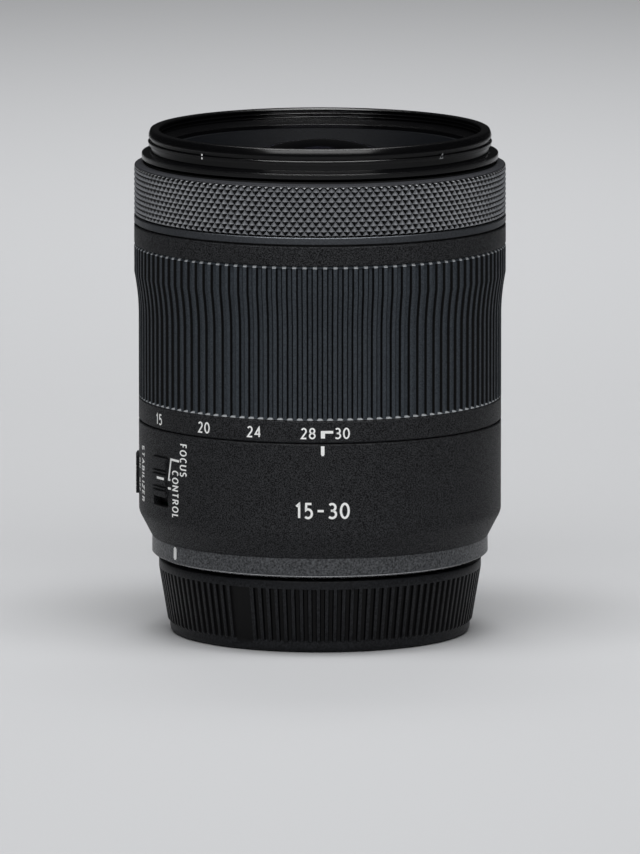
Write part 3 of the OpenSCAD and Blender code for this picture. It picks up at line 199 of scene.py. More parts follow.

# Nitrile rubber: dark blue-grey and dull, with painted shade that blackens its groove walls and painted
# highlights that make the upward-facing tops of its ribs and ends of its grooves pale
grip_rubber = grain(
    finish("moulded_nitrile_rubber", Specular_IOR_Level=0.16),
    0.30 * mm, 0.012 * mm, ("#2a2e33", "#40464c"), (0.62, 0.52), groove="#020203", painted_highlight="#9a9da0")

# Hard-coated plastic of the knurl: a pale charcoal on its upper facets that is partly painted highlight, a
# painted highlight that makes the upward-facing faces of its top chamfer paler still, and painted shade that
# keeps its lower facets black
knurl_plastic = grain(
    finish("hard_coated_knurl_plastic", IOR=1.58, Specular_IOR_Level=0.18),
    0.45 * mm, 0.006 * mm, ("#6a6c70", "#86888c"), (0.40, 0.30), groove="#020203", painted_highlight="#b0b2b5")

# Anodised aluminium, turned: a thin satin band, much brighter than the plastic round it
trim_metal = turned(grain(
    finish("turned_anodised_aluminium", Metallic=1.0),
    0.30 * mm, 0.006 * mm, ("#4a4c50", "#5c5f63"), (0.50, 0.42)), 0.25 * mm, 0.004 * mm)

# Grey paint over blasted aluminium: satin, with a coarse sparkling grain
ring_paint = grain(
    finish("blasted_aluminium_grey_paint", Metallic=0.55, IOR=1.5),
    0.40 * mm, 0.030 * mm, ("#2a2b2d", "#66686b"), (0.48, 0.34), 3.0, edge=0.15 * mm)

# Gloss black moulded rim: clean dark walls between edges that shine as thin bright lines
rim_plastic = grain(
    finish("gloss_moulded_polycarbonate", Specular_IOR_Level=0.42),
    0.60 * mm, 0.0001 * mm, ("#050506", "#09090a"), (0.22, 0.18), edge=0.22 * mm)

# Satin charcoal plastic of the shoulder over the knurl: smooth and a little paler than the barrel
shoulder_plastic = grain(
    finish("satin_moulded_polycarbonate", Specular_IOR_Level=0.40),
    0.30 * mm, 0.003 * mm, ("#26272a", "#35363a"), (0.40, 0.32), edge=0.2 * mm)

# Anti-reflex black of the sloping ring: dull blue-black, with fine rings
name_plastic = turned(grain(
    finish("anti_reflex_black_plastic", Specular_IOR_Level=0.06),
    0.35 * mm, 0.004 * mm, ("#030406", "#080a0e"), (0.62, 0.50)), 0.40 * mm, 0.004 * mm, rings=True)

# Chrome plate on brass, brushed round the axis: pale and shiny
mount_metal = turned(grain(
    finish("brushed_chrome_plate", Metallic=1.0),
    0.50 * mm, 0.003 * mm, ("#b4b5b7", "#c9cacc"), (0.32, 0.22)), 0.20 * mm, 0.003 * mm, rings=True)

# Matte black moulded plastic inside the barrel: drinks stray light, with a faint grain
inner_plastic = grain(
    finish("matte_glass_filled_plastic", IOR=1.5),
    0.35 * mm, 0.010 * mm, ("#0c0c0d", "#151517"), (0.75, 0.60))

# Anodised aluminium of the cam barrel and its key: dark bronze, with a drawn grain along the axis
cam_aluminium = grain(
    finish("anodised_aluminium_tube", Metallic=1.0),
    0.20 * mm, 0.004 * mm, ("#4f473a", "#645a48"), (0.45, 0.35), 2.0, (6, 6, 1))

# Gold plate on the contacts: warm and bright, a little uneven
gold_plate = grain(
    finish("gold_plated_brass", Metallic=1.0),
    0.12 * mm, 0.002 * mm, ("#c79a3e", "#d9b158"), (0.30, 0.20))

# Turned brass: yellow metal with lathe lines and a faint tarnish
turned_brass = turned(grain(
    finish("turned_brass", Metallic=1.0),
    0.40 * mm, 0.003 * mm, ("#9c7c3a", "#bd9a52"), (0.38, 0.26)), 0.18 * mm, 0.004 * mm)

# Ground steel: bright grey, with fine lines across the optical axis
ground_steel = grain(
    finish("ground_steel", Metallic=1.0),
    0.18 * mm, 0.003 * mm, ("#8f9093", "#a8a9ac"), (0.36, 0.24), 2.0, (1, 1, 8))

# Black lacquered spring steel of the iris blades and their ring: even, dull, with slide marks
blade_sheet = turned(grain(
    finish("black_lacquered_spring_steel", Metallic=0.7),
    0.60 * mm, 0.002 * mm, ("#2a2b2d", "#3a3b3e"), (0.55, 0.42)), 0.50 * mm, 0.002 * mm, rings=True)

# White pad-printed ink: opaque, slightly rough, with a faint grey in its thin places
white_ink = grain(
    finish("pad_printed_white_ink", IOR=1.5),
    0.30 * mm, 0.004 * mm, ("#f0f1f0", "#fcfcfa"), (0.55, 0.45))

# Grey pad-printed ink of the hood's lock mark: dim and a little rough
grey_ink = grain(
    finish("pad_printed_grey_ink", IOR=1.5),
    0.30 * mm, 0.004 * mm, ("#77797b", "#8d8f91"), (0.55, 0.45))


def coated_glass():
    """Multi-coated optical glass: dark and clear, with a violet reflex and a tint that drifts."""
    drift = 18 * mm
    material = finish(
        "multi_coated_optical_glass", Roughness=0.0, IOR=1.6, Transmission_Weight=1.0,
        Specular_IOR_Level=0.02, Specular_Tint=linear("#a89be0"))
    tree = material.node_tree
    shader = tree.nodes["Principled BSDF"]
    place = add(tree, "ShaderNodeTexCoord")
    clouds = add(tree, "ShaderNodeTexNoise", {
        "Vector": place.outputs["Object"], "Scale": 1 / drift, "Detail": 1.0})
    tint = add(tree, "ShaderNodeValToRGB", {"Fac": clouds.outputs[0]})
    tint.color_ramp.elements[0].color = linear("#2c3237")
    tint.color_ramp.elements[1].color = linear("#312e3a")
    tree.links.new(tint.outputs[0], shader.inputs["Base Color"])
    return material


def solder_mask():
    """Circuit board: green lacquer over copper tracks that show as paler lines, with tinned pads."""
    track_w = 0.12 * mm
    track_gap = 0.9 * mm
    track_length = 3.2 * mm
    pad_gap = 1.6 * mm
    pad_share = 0.16
    material = finish("green_solder_mask_board", IOR=1.5, Coat_Weight=0.3, Coat_Roughness=0.15)
    tree = material.node_tree
    shader = tree.nodes["Principled BSDF"]
    place = add(tree, "ShaderNodeTexCoord")
    tracks = add(tree, "ShaderNodeTexBrick", {
        "Vector": place.outputs["Object"], "Scale": 1.0, "Mortar Size": track_w,
        "Brick Width": track_length, "Row Height": track_gap, "Color1": linear("#1d4a33"),
        "Color2": linear("#235a3d"), "Mortar": linear("#3f8058")})
    pads = add(tree, "ShaderNodeTexVoronoi", {"Vector": place.outputs["Object"], "Scale": 1 / pad_gap})
    tinned = add(tree, "ShaderNodeMath", {0: pads.outputs[0], 1: pad_share}, operation="LESS_THAN")
    face = add(tree, "ShaderNodeMix", {
        0: tinned.outputs[0], 6: tracks.outputs[0], 7: linear("#b9bab6")}, data_type="RGBA")
    relief = add(tree, "ShaderNodeBump", {
        "Height": tracks.outputs[1], "Distance": 0.03 * mm, "Strength": 0.7})
    gloss = add(tree, "ShaderNodeMapRange", {"Value": tinned.outputs[0], "To Min": 0.45, "To Max": 0.28})
    tree.links.new(face.outputs[2], shader.inputs["Base Color"])
    tree.links.new(gloss.outputs[0], shader.inputs["Roughness"])
    tree.links.new(relief.outputs[0], shader.inputs["Normal"])
    return material


def wound_wire():
    """Enamelled copper wire, wound flat: fine bright and dark turns of a warm brown."""
    return turned(grain(
        finish("enamelled_copper_wire", Metallic=1.0, Coat_Weight=0.4, Coat_Roughness=0.1),
        0.30 * mm, 0.003 * mm, ("#8a4a22", "#a8622f"), (0.34, 0.24)), 0.16 * mm, 0.03 * mm)


glass = coated_glass()
board_green = solder_mask()
copper_wire = wound_wire()

slot_finish = {
    "black_plastic": barrel_plastic, "grip_rubber": grip_rubber, "knurl_plastic": knurl_plastic,
    "trim_metal": trim_metal, "ring_grey": ring_paint, "rim_plastic": rim_plastic,
    "name_plastic": name_plastic, "mount_metal": mount_metal, "lens_glass": glass,
    "inner_plastic": inner_plastic, "circuit_board": board_green, "cam_aluminium": cam_aluminium,
    "gold_contact": gold_plate, "brass_parts": turned_brass, "steel_parts": ground_steel,
    "copper_wire": copper_wire, "blade_metal": blade_sheet,
}
own_finish = {"front_barrel": rim_plastic, "control_ring": shoulder_plastic}

for part in frame["record"]["subparts"]:
    node = frame["nodes"][part["node"]]
    node.data.materials.clear()
    node.data.materials.append(own_finish.get(part["node"], slot_finish[part["material_slot"]]))


# Meshes

def place_on_axis(angle, r, z):
    """Point at an angle round the optical axis, from +X towards +Y."""
    return r * math.cos(angle), r * math.sin(angle), z


def grid(name, angles, rows, around):
    """Skin whose closed profile, one (r, z) function for each row, is drawn at each angle."""
    points = [place_on_axis(a, *row(a)) for row in rows for a in angles]
    wide = len(angles)
    tall = len(rows)
    faces = []
    for j in range(tall):
        for i in range(wide if around else wide - 1):
            k = (i + 1) % wide
            up = (j + 1) % tall
            faces.append((j * wide + i, j * wide + k, up * wide + k, up * wide + i))
    mesh = bpy.data.meshes.new(name)
    mesh.from_pydata(points, [], faces)
    return mesh


def all_round(columns):
    """Even angles once round the optical axis."""
    return [turn * i / columns for i in range(columns)]


def plain_rows(profile):
    """Rows for a skin whose (r, z) points are the same at every angle."""
    return [lambda a, p=p: p for p in profile]


def shade(mesh, sharp):
    """Smooth faces, with hard edges where two faces meet at more than a number of degrees."""
    mesh.polygons.foreach_set("use_smooth", [True] * len(mesh.polygons))
    mesh.set_sharp_from_angle(angle=math.radians(sharp))
    mesh.update()


def piece(name, mesh, material, body):
    """Object that rides on a body and wears the finish it is given."""
    mesh.materials.clear()
    mesh.materials.append(material)
    made = bpy.data.objects.new(name, mesh)
    bpy.context.scene.collection.objects.link(made)
    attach(made, body)
    return made


def ring_of_slices_tree():
    """Copies of one slice round the optical axis, closed into a ring."""
    tree = bpy.data.node_groups.new("ring_of_slices", "GeometryNodeTree")
    sockets = (
        ("Slice", "NodeSocketGeometry"), ("Count", "NodeSocketInt"), ("Step", "NodeSocketFloat"),
        ("Start", "NodeSocketFloat"), ("Seam", "NodeSocketFloat"), ("Finish", "NodeSocketMaterial"))
    for name, kind in sockets:
        tree.interface.new_socket(name, in_out="INPUT", socket_type=kind)
    tree.interface.new_socket("Ring", in_out="OUTPUT", socket_type="NodeSocketGeometry")
    given = add(tree, "NodeGroupInput").outputs
    places = add(tree, "GeometryNodePoints", {"Count": given["Count"]})
    index = add(tree, "GeometryNodeInputIndex")
    angle = add(tree, "ShaderNodeMath", {
        0: index.outputs[0], 1: given["Step"], 2: given["Start"]}, operation="MULTIPLY_ADD")
    swing = add(tree, "ShaderNodeCombineXYZ", {"Z": angle.outputs[0]})
    copies = add(tree, "GeometryNodeInstanceOnPoints", {
        "Points": places.outputs[0], "Instance": given["Slice"], "Rotation": swing.outputs[0]})
    real = add(tree, "GeometryNodeRealizeInstances", {"Geometry": copies.outputs[0]})
    closed = add(tree, "GeometryNodeMergeByDistance", {
        "Geometry": real.outputs[0], "Distance": given["Seam"]})
    painted = add(tree, "GeometryNodeSetMaterial", {
        "Geometry": closed.outputs[0], "Material": given["Finish"]})
    add(tree, "NodeGroupOutput", {"Ring": painted.outputs[0]})
    return tree


ring_of_slices = ring_of_slices_tree()


def ring_mesh(name, slice_mesh, count, step, start, material):
    """Plain mesh of a slice repeated round the axis by the ring_of_slices tree."""
    carrier = bpy.data.objects.new(name + "_slice", slice_mesh)
    bpy.context.scene.collection.objects.link(carrier)
    modifier = carrier.modifiers.new("ring", "NODES")
    modifier.node_group = ring_of_slices
    values = {"Count": count, "Step": step, "Start": start, "Seam": seam, "Finish": material}
    for item in ring_of_slices.interface.items_tree:
        if item.in_out == "INPUT" and item.name in values:
            modifier[item.identifier] = values[item.name]
    solved = carrier.evaluated_get(bpy.context.evaluated_depsgraph_get())
    mesh = bpy.data.meshes.new_from_object(solved)
    mesh.name = name
    carrier.modifiers.remove(modifier)
    bpy.data.objects.remove(carrier)
    return mesh


def s_curve(t):
    """Smooth step from 0 to 1."""
    t = max(0.0, min(1.0, t))
    return t * t * (3 - 2 * t)


def rib_columns(pitch, rib_half, wall):
    """Distances from a rib's middle, over one pitch, at which its section bends."""
    right = [0.0] + [rib_half + wall * t / 4 for t in range(5)] + [pitch / 2]
    return [-x for x in reversed(right[1:])] + right


def mark(mesh, name, angle_of, near, far, low, high):
    """Attribute that is 1 where a point lies between two distances from its rib's middle and two heights."""
    layer = mesh.attributes.new(name, "FLOAT", "POINT")
    for vertex, share in zip(mesh.vertices, layer.data):
        off = angle_of(math.atan2(vertex.co.y, vertex.co.x)) * vertex.co.xy.length
        share.value = 1.0 if near < off < far and low < vertex.co.z < high else 0.0


def from_rib(start, step):
    """Function that gives the angle between a direction and the middle of its nearest rib."""
    return lambda a: abs(((a - start) % turn) / step - round(((a - start) % turn) / step)) * step


# Ribbed rubber grip

def zoom_grip():
    """Rubber sleeve: flat ribs, round-bottomed grooves, a wide tier in front and a hollow curve under it."""
    ribs = 114
    rib_half = 0.33 * mm
    wall = 0.40 * mm
    depth = 0.6 * mm
    foot_in = 0.13 * mm
    end_h = 0.10 * mm
    end_rise = 0.30
    over_end_h = 0.22 * mm
    over_end_rise = 0.38
    lip_depth = 0.25 * mm
    lip_step = 0.03 * mm
    tip = 0.45 * mm
    bore_r = 36.35 * mm
    tier_low = grip_top - 5.85 * mm
    curve_h = 8.5 * mm
    curve_power = 1.8
    curve_steps = 6
    pitch = turn * waist_r / ribs
    offsets = rib_columns(pitch, rib_half, wall)

    def dip(angle):
        """Depth of the groove at an angle from the rib's middle."""
        return depth * s_curve((abs(angle) * waist_r - rib_half) / wall)

    def curve(t):
        """Row of the hollow curve, from the waist at 0 to the tier at 1."""
        r = waist_r + (max_r - waist_r) * t ** curve_power
        return lambda a: (r - dip(a), tier_low - curve_h * (1 - t))

    rows = [lambda a: (waist_r - foot_in, grip_low)]
    rows.append(lambda a: (waist_r - dip(a), grip_low + end_h + end_rise * dip(a)))
    rows.append(lambda a: (waist_r - dip(a), grip_low + over_end_h + over_end_rise * dip(a)))
    rows += [curve(i / curve_steps) for i in range(curve_steps + 1)]
    rows.append(lambda a: (max_r - dip(a), grip_top - tip))
    rows.append(lambda a: (max_r - max(lip_step, min(dip(a), lip_depth)), grip_top - tip + lip_step))
    rows.append(lambda a: (max_r - lip_depth, grip_top - tip + lip_depth))
    rows.append(lambda a: (max_r - tip, grip_top))
    rows.append(lambda a: (bore_r, grip_top))
    rows.append(lambda a: (bore_r, grip_low))
    strip = grid("grip_slice", [x / waist_r for x in offsets], rows, False)
    mesh = ring_mesh("grip_skin", strip, ribs, turn / ribs, 0.0, grip_rubber)
    shade(mesh, 38)
    edge = 0.05 * wall
    off_rib = from_rib(0.0, turn / ribs)
    # Painted shade: the walls of the grooves are painted near black
    mark(mesh, "groove", off_rib, rib_half + edge, rib_half + wall - edge, grip_low, grip_top - tip)
    # Painted highlight: the upward-facing tops of the ribs are painted pale
    mark(mesh, "painted_highlight", off_rib, -math.inf, rib_half + edge, grip_top - tip + lip_step / 2, math.inf)
    # The upward-facing ends of the grooves at the bottom get the same painted highlight
    shallow = 0.05 * mm
    painted_highlight_h = (end_h + over_end_h) / 2
    for vertex, share in zip(mesh.vertices, mesh.attributes["painted_highlight"].data):
        sunk = waist_r - vertex.co.xy.length
        if sunk > shallow and vertex.co.z < grip_low + painted_highlight_h + end_rise * sunk:
            share.value = 1.0
    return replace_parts(piece("zoom_grip_ribs", mesh, grip_rubber, "zoom_unit"), "zoom_grip")


# Knurled band

def knurled_band():
    """Control ring's band: rows of four-sided points with worn tips, cut off by a chamfer at both edges."""
    count = 150
    rows = 5
    depth = 0.7 * mm
    tip_share = 0.08
    chamfer = 0.30 * mm
    looks_down = -0.1
    looks_up = 0.3
    half_a = turn / count / 2
    half_h = (knurl_top - knurl_low) / rows / 2
    valley_r = max_r - depth
    points = []
    faces = []

    def face(*corners):
        """Face from (angle, r, z) corners."""
        faces.append(list(range(len(points), len(points) + len(corners))))
        points.extend(place_on_axis(*c) for c in corners)

    def diamond(a, z):
        """Point with four facets and a flat worn tip."""
        sides = ((1, 0), (0, 1), (-1, 0), (0, -1))
        base = [(a + x * half_a, valley_r, z + y * half_h) for x, y in sides]
        tip = [(a + x * half_a * tip_share, max_r, z + y * half_h * tip_share) for x, y in sides]
        for i in range(4):
            k = (i + 1) % 4
            face(base[i], base[k], tip[k], tip[i])
        face(*tip)

    def edge_point(a, z, way):
        """Half point, cut by the chamfer. way is 1 at the band's lower edge and -1 at its upper edge."""
        left = (a - half_a, valley_r, z)
        right = (a + half_a, valley_r, z)
        far = (a, valley_r, z + way * half_h)
        tip = (a, max_r, z + way * chamfer)
        low = (a, max_r - chamfer, z)
        for corners in ((left, low, tip), (low, right, tip), (right, far, tip), (far, left, tip)):
            face(*(corners if way > 0 else reversed(corners)))

    for k in range(rows):
        diamond(0.0, knurl_low + (2 * k + 1) * half_h)
    for k in range(1, rows):
        diamond(half_a, knurl_low + 2 * k * half_h)
    edge_point(half_a, knurl_low, 1)
    edge_point(half_a, knurl_top, -1)
    for a, b in ((0.0, half_a), (half_a, 2 * half_a)):
        r_a = valley_r if a == 0.0 else max_r - chamfer
        r_b = valley_r if a else max_r - chamfer
        inner_low = ((a, band_bore_r, knurl_low), (b, band_bore_r, knurl_low))
        inner_top = ((a, band_bore_r, knurl_top), (b, band_bore_r, knurl_top))
        face(*inner_low, (b, r_b, knurl_low), (a, r_a, knurl_low))
        face((a, r_a, knurl_top), (b, r_b, knurl_top), *reversed(inner_top))
        face(*inner_top, *reversed(inner_low))
    strip = bpy.data.meshes.new("knurl_slice")
    strip.from_pydata(points, [], faces)
    mesh = ring_mesh("knurl_skin", strip, count, turn / count, 0.0, knurl_plastic)
    shade(mesh, 12)
    # Painted shade: facets that face downwards are painted black
    lower = mesh.attributes.new("groove", "FLOAT", "FACE").data
    for polygon, share in zip(mesh.polygons, lower):
        share.value = 1.0 if polygon.normal.z < looks_down else 0.0
    # Painted highlight: upward-facing faces of the top chamfer are painted pale
    painted_highlight_share = mesh.attributes.new("painted_highlight", "FLOAT", "FACE").data
    for polygon, share in zip(mesh.polygons, painted_highlight_share):
        on_chamfer = polygon.center.z > knurl_top - chamfer
        share.value = 1.0 if on_chamfer and polygon.normal.z > looks_up else 0.0
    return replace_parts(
        piece("control_ring_knurl", mesh, knurl_plastic, "control_unit"), "knurled_band")


# Rear cap

def add_cap_lugs(skin, bore_r, lug_top):
    """Three lugs inside the cap, which hold behind the bayonet's own."""
    lug_in_r = 25.9 * mm
    lug_out_r = bore_r + 0.6 * mm
    lug_low = cap_top - 1.6 * mm
    first_a = math.radians(210.3)
    lug_half = math.radians(25)
    steps = 12
    corners = ((lug_out_r, lug_low), (lug_out_r, lug_top), (lug_in_r, lug_top), (lug_in_r, lug_low))
    for i in range(3):
        middle = first_a + i * turn / 3
        sweep = [middle + lug_half * (2 * j / steps - 1) for j in range(steps + 1)]
        loops = [[skin.verts.new(place_on_axis(a, r, z)) for r, z in corners] for a in sweep]
        for one, two in zip(loops, loops[1:]):
            for j in range(4):
                k = (j + 1) % 4
                skin.faces.new((one[j], two[j], two[k], one[k]))
        skin.faces.new(loops[0])
        skin.faces.new(list(reversed(loops[-1])))


def rear_cap():
    """Cap over the mount: plain foot, ribs that widen to a lip, one smooth strip and three inner lugs."""
    ribs = 116
    strip_a = math.radians(240.2)
    strip_w = math.radians(6.6)
    rib_half = 0.32 * mm
    wall = 0.22 * mm
    depth = 0.5 * mm
    taper = 1.8 * mm
    foot_h = 2.2 * mm
    rib_foot_h = 0.5 * mm
    groove_rise = 0.4
    rib_foot_fall = 0.2
    lip_z = cap_top - 1.7 * mm
    lip_step = 0.05 * mm
    round_r = 1.1 * mm
    edge = 0.28 * mm
    edge_mid = 0.3 * edge
    bore_r = 29.4 * mm
    floor_t = 2.2 * mm
    strip_columns = 6
    core_r = cap_r - taper - depth
    step = (turn - strip_w) / ribs
    first_rib_a = strip_a + (strip_w + step) / 2

    def section(dip):
        """Rows from the middle of the foot, over the ribs and the lip, to the middle of the inner floor."""
        bend = [math.radians(a) for a in (0, 30, 60, 90)]
        foot = [
            (core_r - round_r + round_r * math.sin(a), round_r - round_r * math.cos(a)) for a in bend]
        lip = [(cap_r, lip_z), (cap_r, cap_top - edge), (cap_r - edge_mid, cap_top - edge_mid)]
        lip += [(cap_r - edge, cap_top)]
        inside = [(bore_r, cap_top), (bore_r, floor_t), (0.0, floor_t)]
        rows = plain_rows([(0.0, 0.0)] + foot)
        rows.append(lambda a: (core_r, foot_h + groove_rise * dip(a)))
        rows.append(lambda a: (core_r + depth - dip(a), foot_h + rib_foot_h - rib_foot_fall * dip(a)))
        rows.append(lambda a: (cap_r - dip(a), lip_z - lip_step))
        return rows + plain_rows(lip + inside)

    def rib_dip(angle):
        """Depth of the groove at an angle from the rib's middle."""
        return depth * s_curve((abs(angle) * cap_r - rib_half) / wall)

    columns = [x / cap_r for x in rib_columns(step * cap_r, rib_half, wall)]
    strip = grid("cap_slice", columns, section(rib_dip), False)
    ribbed = ring_mesh("cap_ribs", strip, ribs, step, first_rib_a, cap_nylon)
    strip_angles = [strip_a + strip_w * (i / strip_columns - 0.5) for i in range(strip_columns + 1)]
    plain = grid("cap_strip", strip_angles, section(lambda a: depth), False)
    skin = bmesh.new()
    skin.from_mesh(ribbed)
    skin.from_mesh(plain)
    bmesh.ops.remove_doubles(skin, verts=skin.verts, dist=seam)
    add_cap_lugs(skin, bore_r, cap_top - edge)
    mesh = bpy.data.meshes.new("cap_skin")
    skin.to_mesh(mesh)
    skin.free()
    shade(mesh, 38)
    groove_low = foot_h + 0.3 * mm
    groove_top = lip_z - 0.2 * lip_step
    groove_edge = rib_half + 0.05 * wall
    off_rib = from_rib(first_rib_a, step)
    # Painted shade: the walls and floors of the grooves between the ribs are painted near black
    mark(mesh, "groove", off_rib, groove_edge, step * cap_r, groove_low, groove_top)
    strip_reach = 0.51 * strip_w  # half the strip, and a little more to take in its edges
    # The recessed plain strip gets the same painted shade
    for vertex, share in zip(mesh.vertices, mesh.attributes["groove"].data):
        off = abs(math.atan2(vertex.co.y, vertex.co.x) % turn - strip_a)
        if off < strip_reach and foot_h < vertex.co.z < groove_top:
            share.value = 1.0
    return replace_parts(piece("rear_cap_ribs", mesh, cap_nylon, "cap"), "rear_cap")


# Front rim

def filter_ring():
    """Front rim: rounded outer edges, a groove at its joint and a real screw thread inside."""
    pitch = 0.75 * mm
    thread_r = 33.1 * mm
    thread_d = 0.4 * mm
    thread_h = 2.0 * mm
    thread_top = front_z - 0.25 * mm
    flank_slope = 1.6
    crest_share = 0.3
    edge = 0.25 * mm
    groove_r = rim_r - 0.4 * mm
    groove_top = front_z - 1.7 * mm
    groove_edge = 0.08 * mm
    joint_z = front_z - 2.35 * mm
    spigot_r = rim_r - 1.65 * mm
    lip_r = 31.3 * mm
    lip_z = front_z - 3.1 * mm
    lip_chamfer = 0.7 * mm
    rows_in = 24
    fade_rows = 3

    def thread(j):
        """Row of the thread, which fades out at both ends."""
        z = thread_top - thread_h * j / rows_in
        fade = min(1.0, j / fade_rows, (rows_in - j) / fade_rows)

        def row(a):
            phase = (z / pitch + a / turn) % 1.0
            cut = max(0.0, min(1.0, flank_slope * (1 - abs(2 * phase - 1)) - crest_share))
            return thread_r + thread_d * cut * fade, z
        return row

    outer = [(lip_r, filter_low), (spigot_r, filter_low), (spigot_r, joint_z), (groove_r, joint_z)]
    outer += [(groove_r, groove_top), (rim_r - groove_edge, groove_top), (rim_r, groove_top + groove_edge)]
    # The rounded front edge, in mm inwards from the rim and down from the front
    bevel = ((0.0, 1.25), (0.06, 0.95), (0.17, 0.60), (0.30, 0.26), (0.40, 0.10), (0.58, 0.0))
    outer += [(rim_r - inwards * mm, front_z - down * mm) for inwards, down in bevel]
    outer += [(thread_r + edge, front_z)]
    rows = plain_rows(outer)
    rows += [thread(j) for j in range(rows_in + 1)]
    rows += plain_rows(((lip_r + lip_chamfer, lip_z), (lip_r, lip_z)))
    mesh = grid("filter_ring_skin", all_round(ring_columns), rows, True)
    shade(mesh, 32)
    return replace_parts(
        piece("filter_ring_thread", mesh, rim_plastic, "front_unit"), "filter_ring")


def revolved(name, profile, material, body):
    """Ring from a closed profile of (r, z) points in metres, with flat chamfers."""
    mesh = grid(name, all_round(ring_columns), plain_rows(profile), True)
    shade(mesh, 20)
    return piece(name, mesh, material, body)


def front_edges():
    """Edges of the sliding tube that shine: the collar's wall, and the bead at the rim's joint."""
    tube_top = span_of("front_barrel")[1]
    # Profiles in mm: radius, and depth under the tube's top
    collar = ((35.6, 3.7), (36.5, 3.7), (36.72, 3.5), (36.72, 2.68), (36.54, 2.50), (35.6, 2.22))
    bead = ((35.1, 0.34), (35.30, 0.34), (35.42, 0.24), (35.42, 0.11), (35.28, -0.03), (35.1, -0.03))
    for name, profile in (("front_collar_edge", collar), ("front_joint_bead", bead)):
        points = [(r * mm, tube_top - down * mm) for r, down in profile]
        revolved(name, points, rim_plastic, "front_unit")


# Trim ring

def trim_ring():
    """Plain metal band under the knurl, with a fine chamfer in front."""
    chamfer = 0.15 * mm
    trim_low, trim_top = span_of("trim_ring")
    profile = (
        (band_bore_r, trim_low), (max_r - chamfer / 2, trim_low), (max_r, trim_low + chamfer / 2),
        (max_r, trim_top - chamfer), (max_r - chamfer, trim_top), (band_bore_r, trim_top))
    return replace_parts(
        revolved("trim_ring_band", profile, trim_metal, "control_unit"), "trim_ring")


# Front element

def front_element():
    """Polished meniscus: a steep dome in front, a ground edge and a deep dish behind."""
    dome_r = 39 * mm
    dish_r = 21 * mm
    dish_half = 17.6 * mm
    steps = 24
    columns = 96
    pole = 0.001 * mm
    edge_r = radius_of("front_element")
    seat_z, top_z = span_of("front_element")
    dome_half = math.asin(edge_r / dome_r)
    dish_a = math.asin(dish_half / dish_r)
    dish_z = seat_z - dish_r * math.cos(dish_a)
    profile = [(edge_r, seat_z)]
    for i in range(steps + 1):
        a = dome_half * (1 - i / steps)
        profile.append((dome_r * math.sin(a), top_z - dome_r + dome_r * math.cos(a)))
    for i in range(steps + 1):
        a = dish_a * i / steps
        profile.append((dish_r * math.sin(a), dish_z + dish_r * math.cos(a)))
    mesh = grid("front_element_skin", all_round(columns), plain_rows(profile), True)
    skin = bmesh.new()
    skin.from_mesh(mesh)
    bmesh.ops.remove_doubles(skin, verts=skin.verts, dist=pole)
    skin.to_mesh(mesh)
    skin.free()
    shade(mesh, 30)
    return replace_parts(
        piece("front_element_polished", mesh, glass, "front_unit"), "front_element")


zoom_grip()
knurled_band()
rear_cap()
filter_ring()
front_edges()
trim_ring()
front_element()


# Prints

ink_t = 0.03 * mm
ink_lift = 0.4 * ink_t
stroke_share = 0.14
letter_gap = 0.15


def arc(x, y, rx, ry, start, end):
    """Points along an arc of an upright ellipse, between two angles in degrees."""
    step_a = 18
    steps = max(4, round(abs(end - start) / step_a))
    angles = [math.radians(start + (end - start) * i / steps) for i in range(steps + 1)]
    return [(x + rx * math.cos(a), y + ry * math.sin(a)) for a in angles]


ring_stroke = arc(0.5, 0.5, 0.5, 0.5, 0, 360)

# Plain upright characters: width as a share of the height, and pen strokes in a box of 1 by 1
characters = {
    "0": (0.61, [ring_stroke]),
    "1": (0.38, [[(0, 0.80), (0.7, 1), (0.7, 0)]]),
    "2": (0.56, [arc(0.48, 0.73, 0.46, 0.27, 155, -30) + [(0, 0), (1, 0)]]),
    "3": (0.56, [
        arc(0.42, 0.76, 0.48, 0.24, 140, -90) + [(0.25, 0.52)], arc(0.42, 0.26, 0.56, 0.26, 90, -140)]),
    "4": (0.60, [[(0.76, 0), (0.76, 1), (0, 0.28), (1, 0.28)]]),
    "5": (0.56, [[(0.9, 1), (0.16, 1), (0.12, 0.56)] + arc(0.40, 0.31, 0.56, 0.31, 110, -135)]),
    "8": (0.59, [arc(0.5, 0.76, 0.44, 0.24, -90, 270), arc(0.5, 0.26, 0.5, 0.26, 90, 450)]),
    "-": (0.58, [[(0.08, 0.50), (0.92, 0.50)]]),
    "A": (0.56, [[(0, 0), (0.5, 1), (1, 0)], [(0.18, 0.34), (0.82, 0.34)]]),
    "B": (0.50, [[(0, 0), (0, 1), (0.45, 1)] + arc(0.45, 0.76, 0.46, 0.24, 90, -90) + [(0, 0.52)],
                 [(0.45, 0.52)] + arc(0.45, 0.26, 0.55, 0.26, 90, -90) + [(0, 0)]]),
    "C": (0.52, [arc(0.56, 0.5, 0.56, 0.5, 48, 312)]),
    "E": (0.42, [[(1, 1), (0, 1), (0, 0), (1, 0)], [(0, 0.52), (0.85, 0.52)]]),
    "F": (0.42, [[(1, 1), (0, 1), (0, 0)], [(0, 0.50), (0.85, 0.50)]]),
    "I": (0.13, [[(0.5, 0), (0.5, 1)]]),
    "L": (0.40, [[(0, 1), (0, 0), (1, 0)]]),
    "N": (0.55, [[(0, 0), (0, 1), (1, 0), (1, 1)]]),
    "O": (0.62, [ring_stroke]),
    "R": (0.50, [[(0, 0), (0, 1), (0.45, 1)] + arc(0.45, 0.74, 0.48, 0.26, 90, -90) + [(0, 0.48)],
                 [(0.45, 0.48), (1, 0)]]),
    "S": (0.46, [arc(0.5, 0.75, 0.46, 0.25, 35, 270) + arc(0.5, 0.25, 0.5, 0.25, 90, -145)[1:]]),
    "T": (0.50, [[(0, 1), (1, 1)], [(0.5, 1), (0.5, 0)]]),
    "U": (0.54, [[(0, 1), (0, 0.3)] + arc(0.5, 0.3, 0.5, 0.3, 180, 360)[1:-1] + [(1, 0.3), (1, 1)]]),
    "Z": (0.48, [[(0, 1), (1, 1), (0, 0), (1, 0)]]),
}


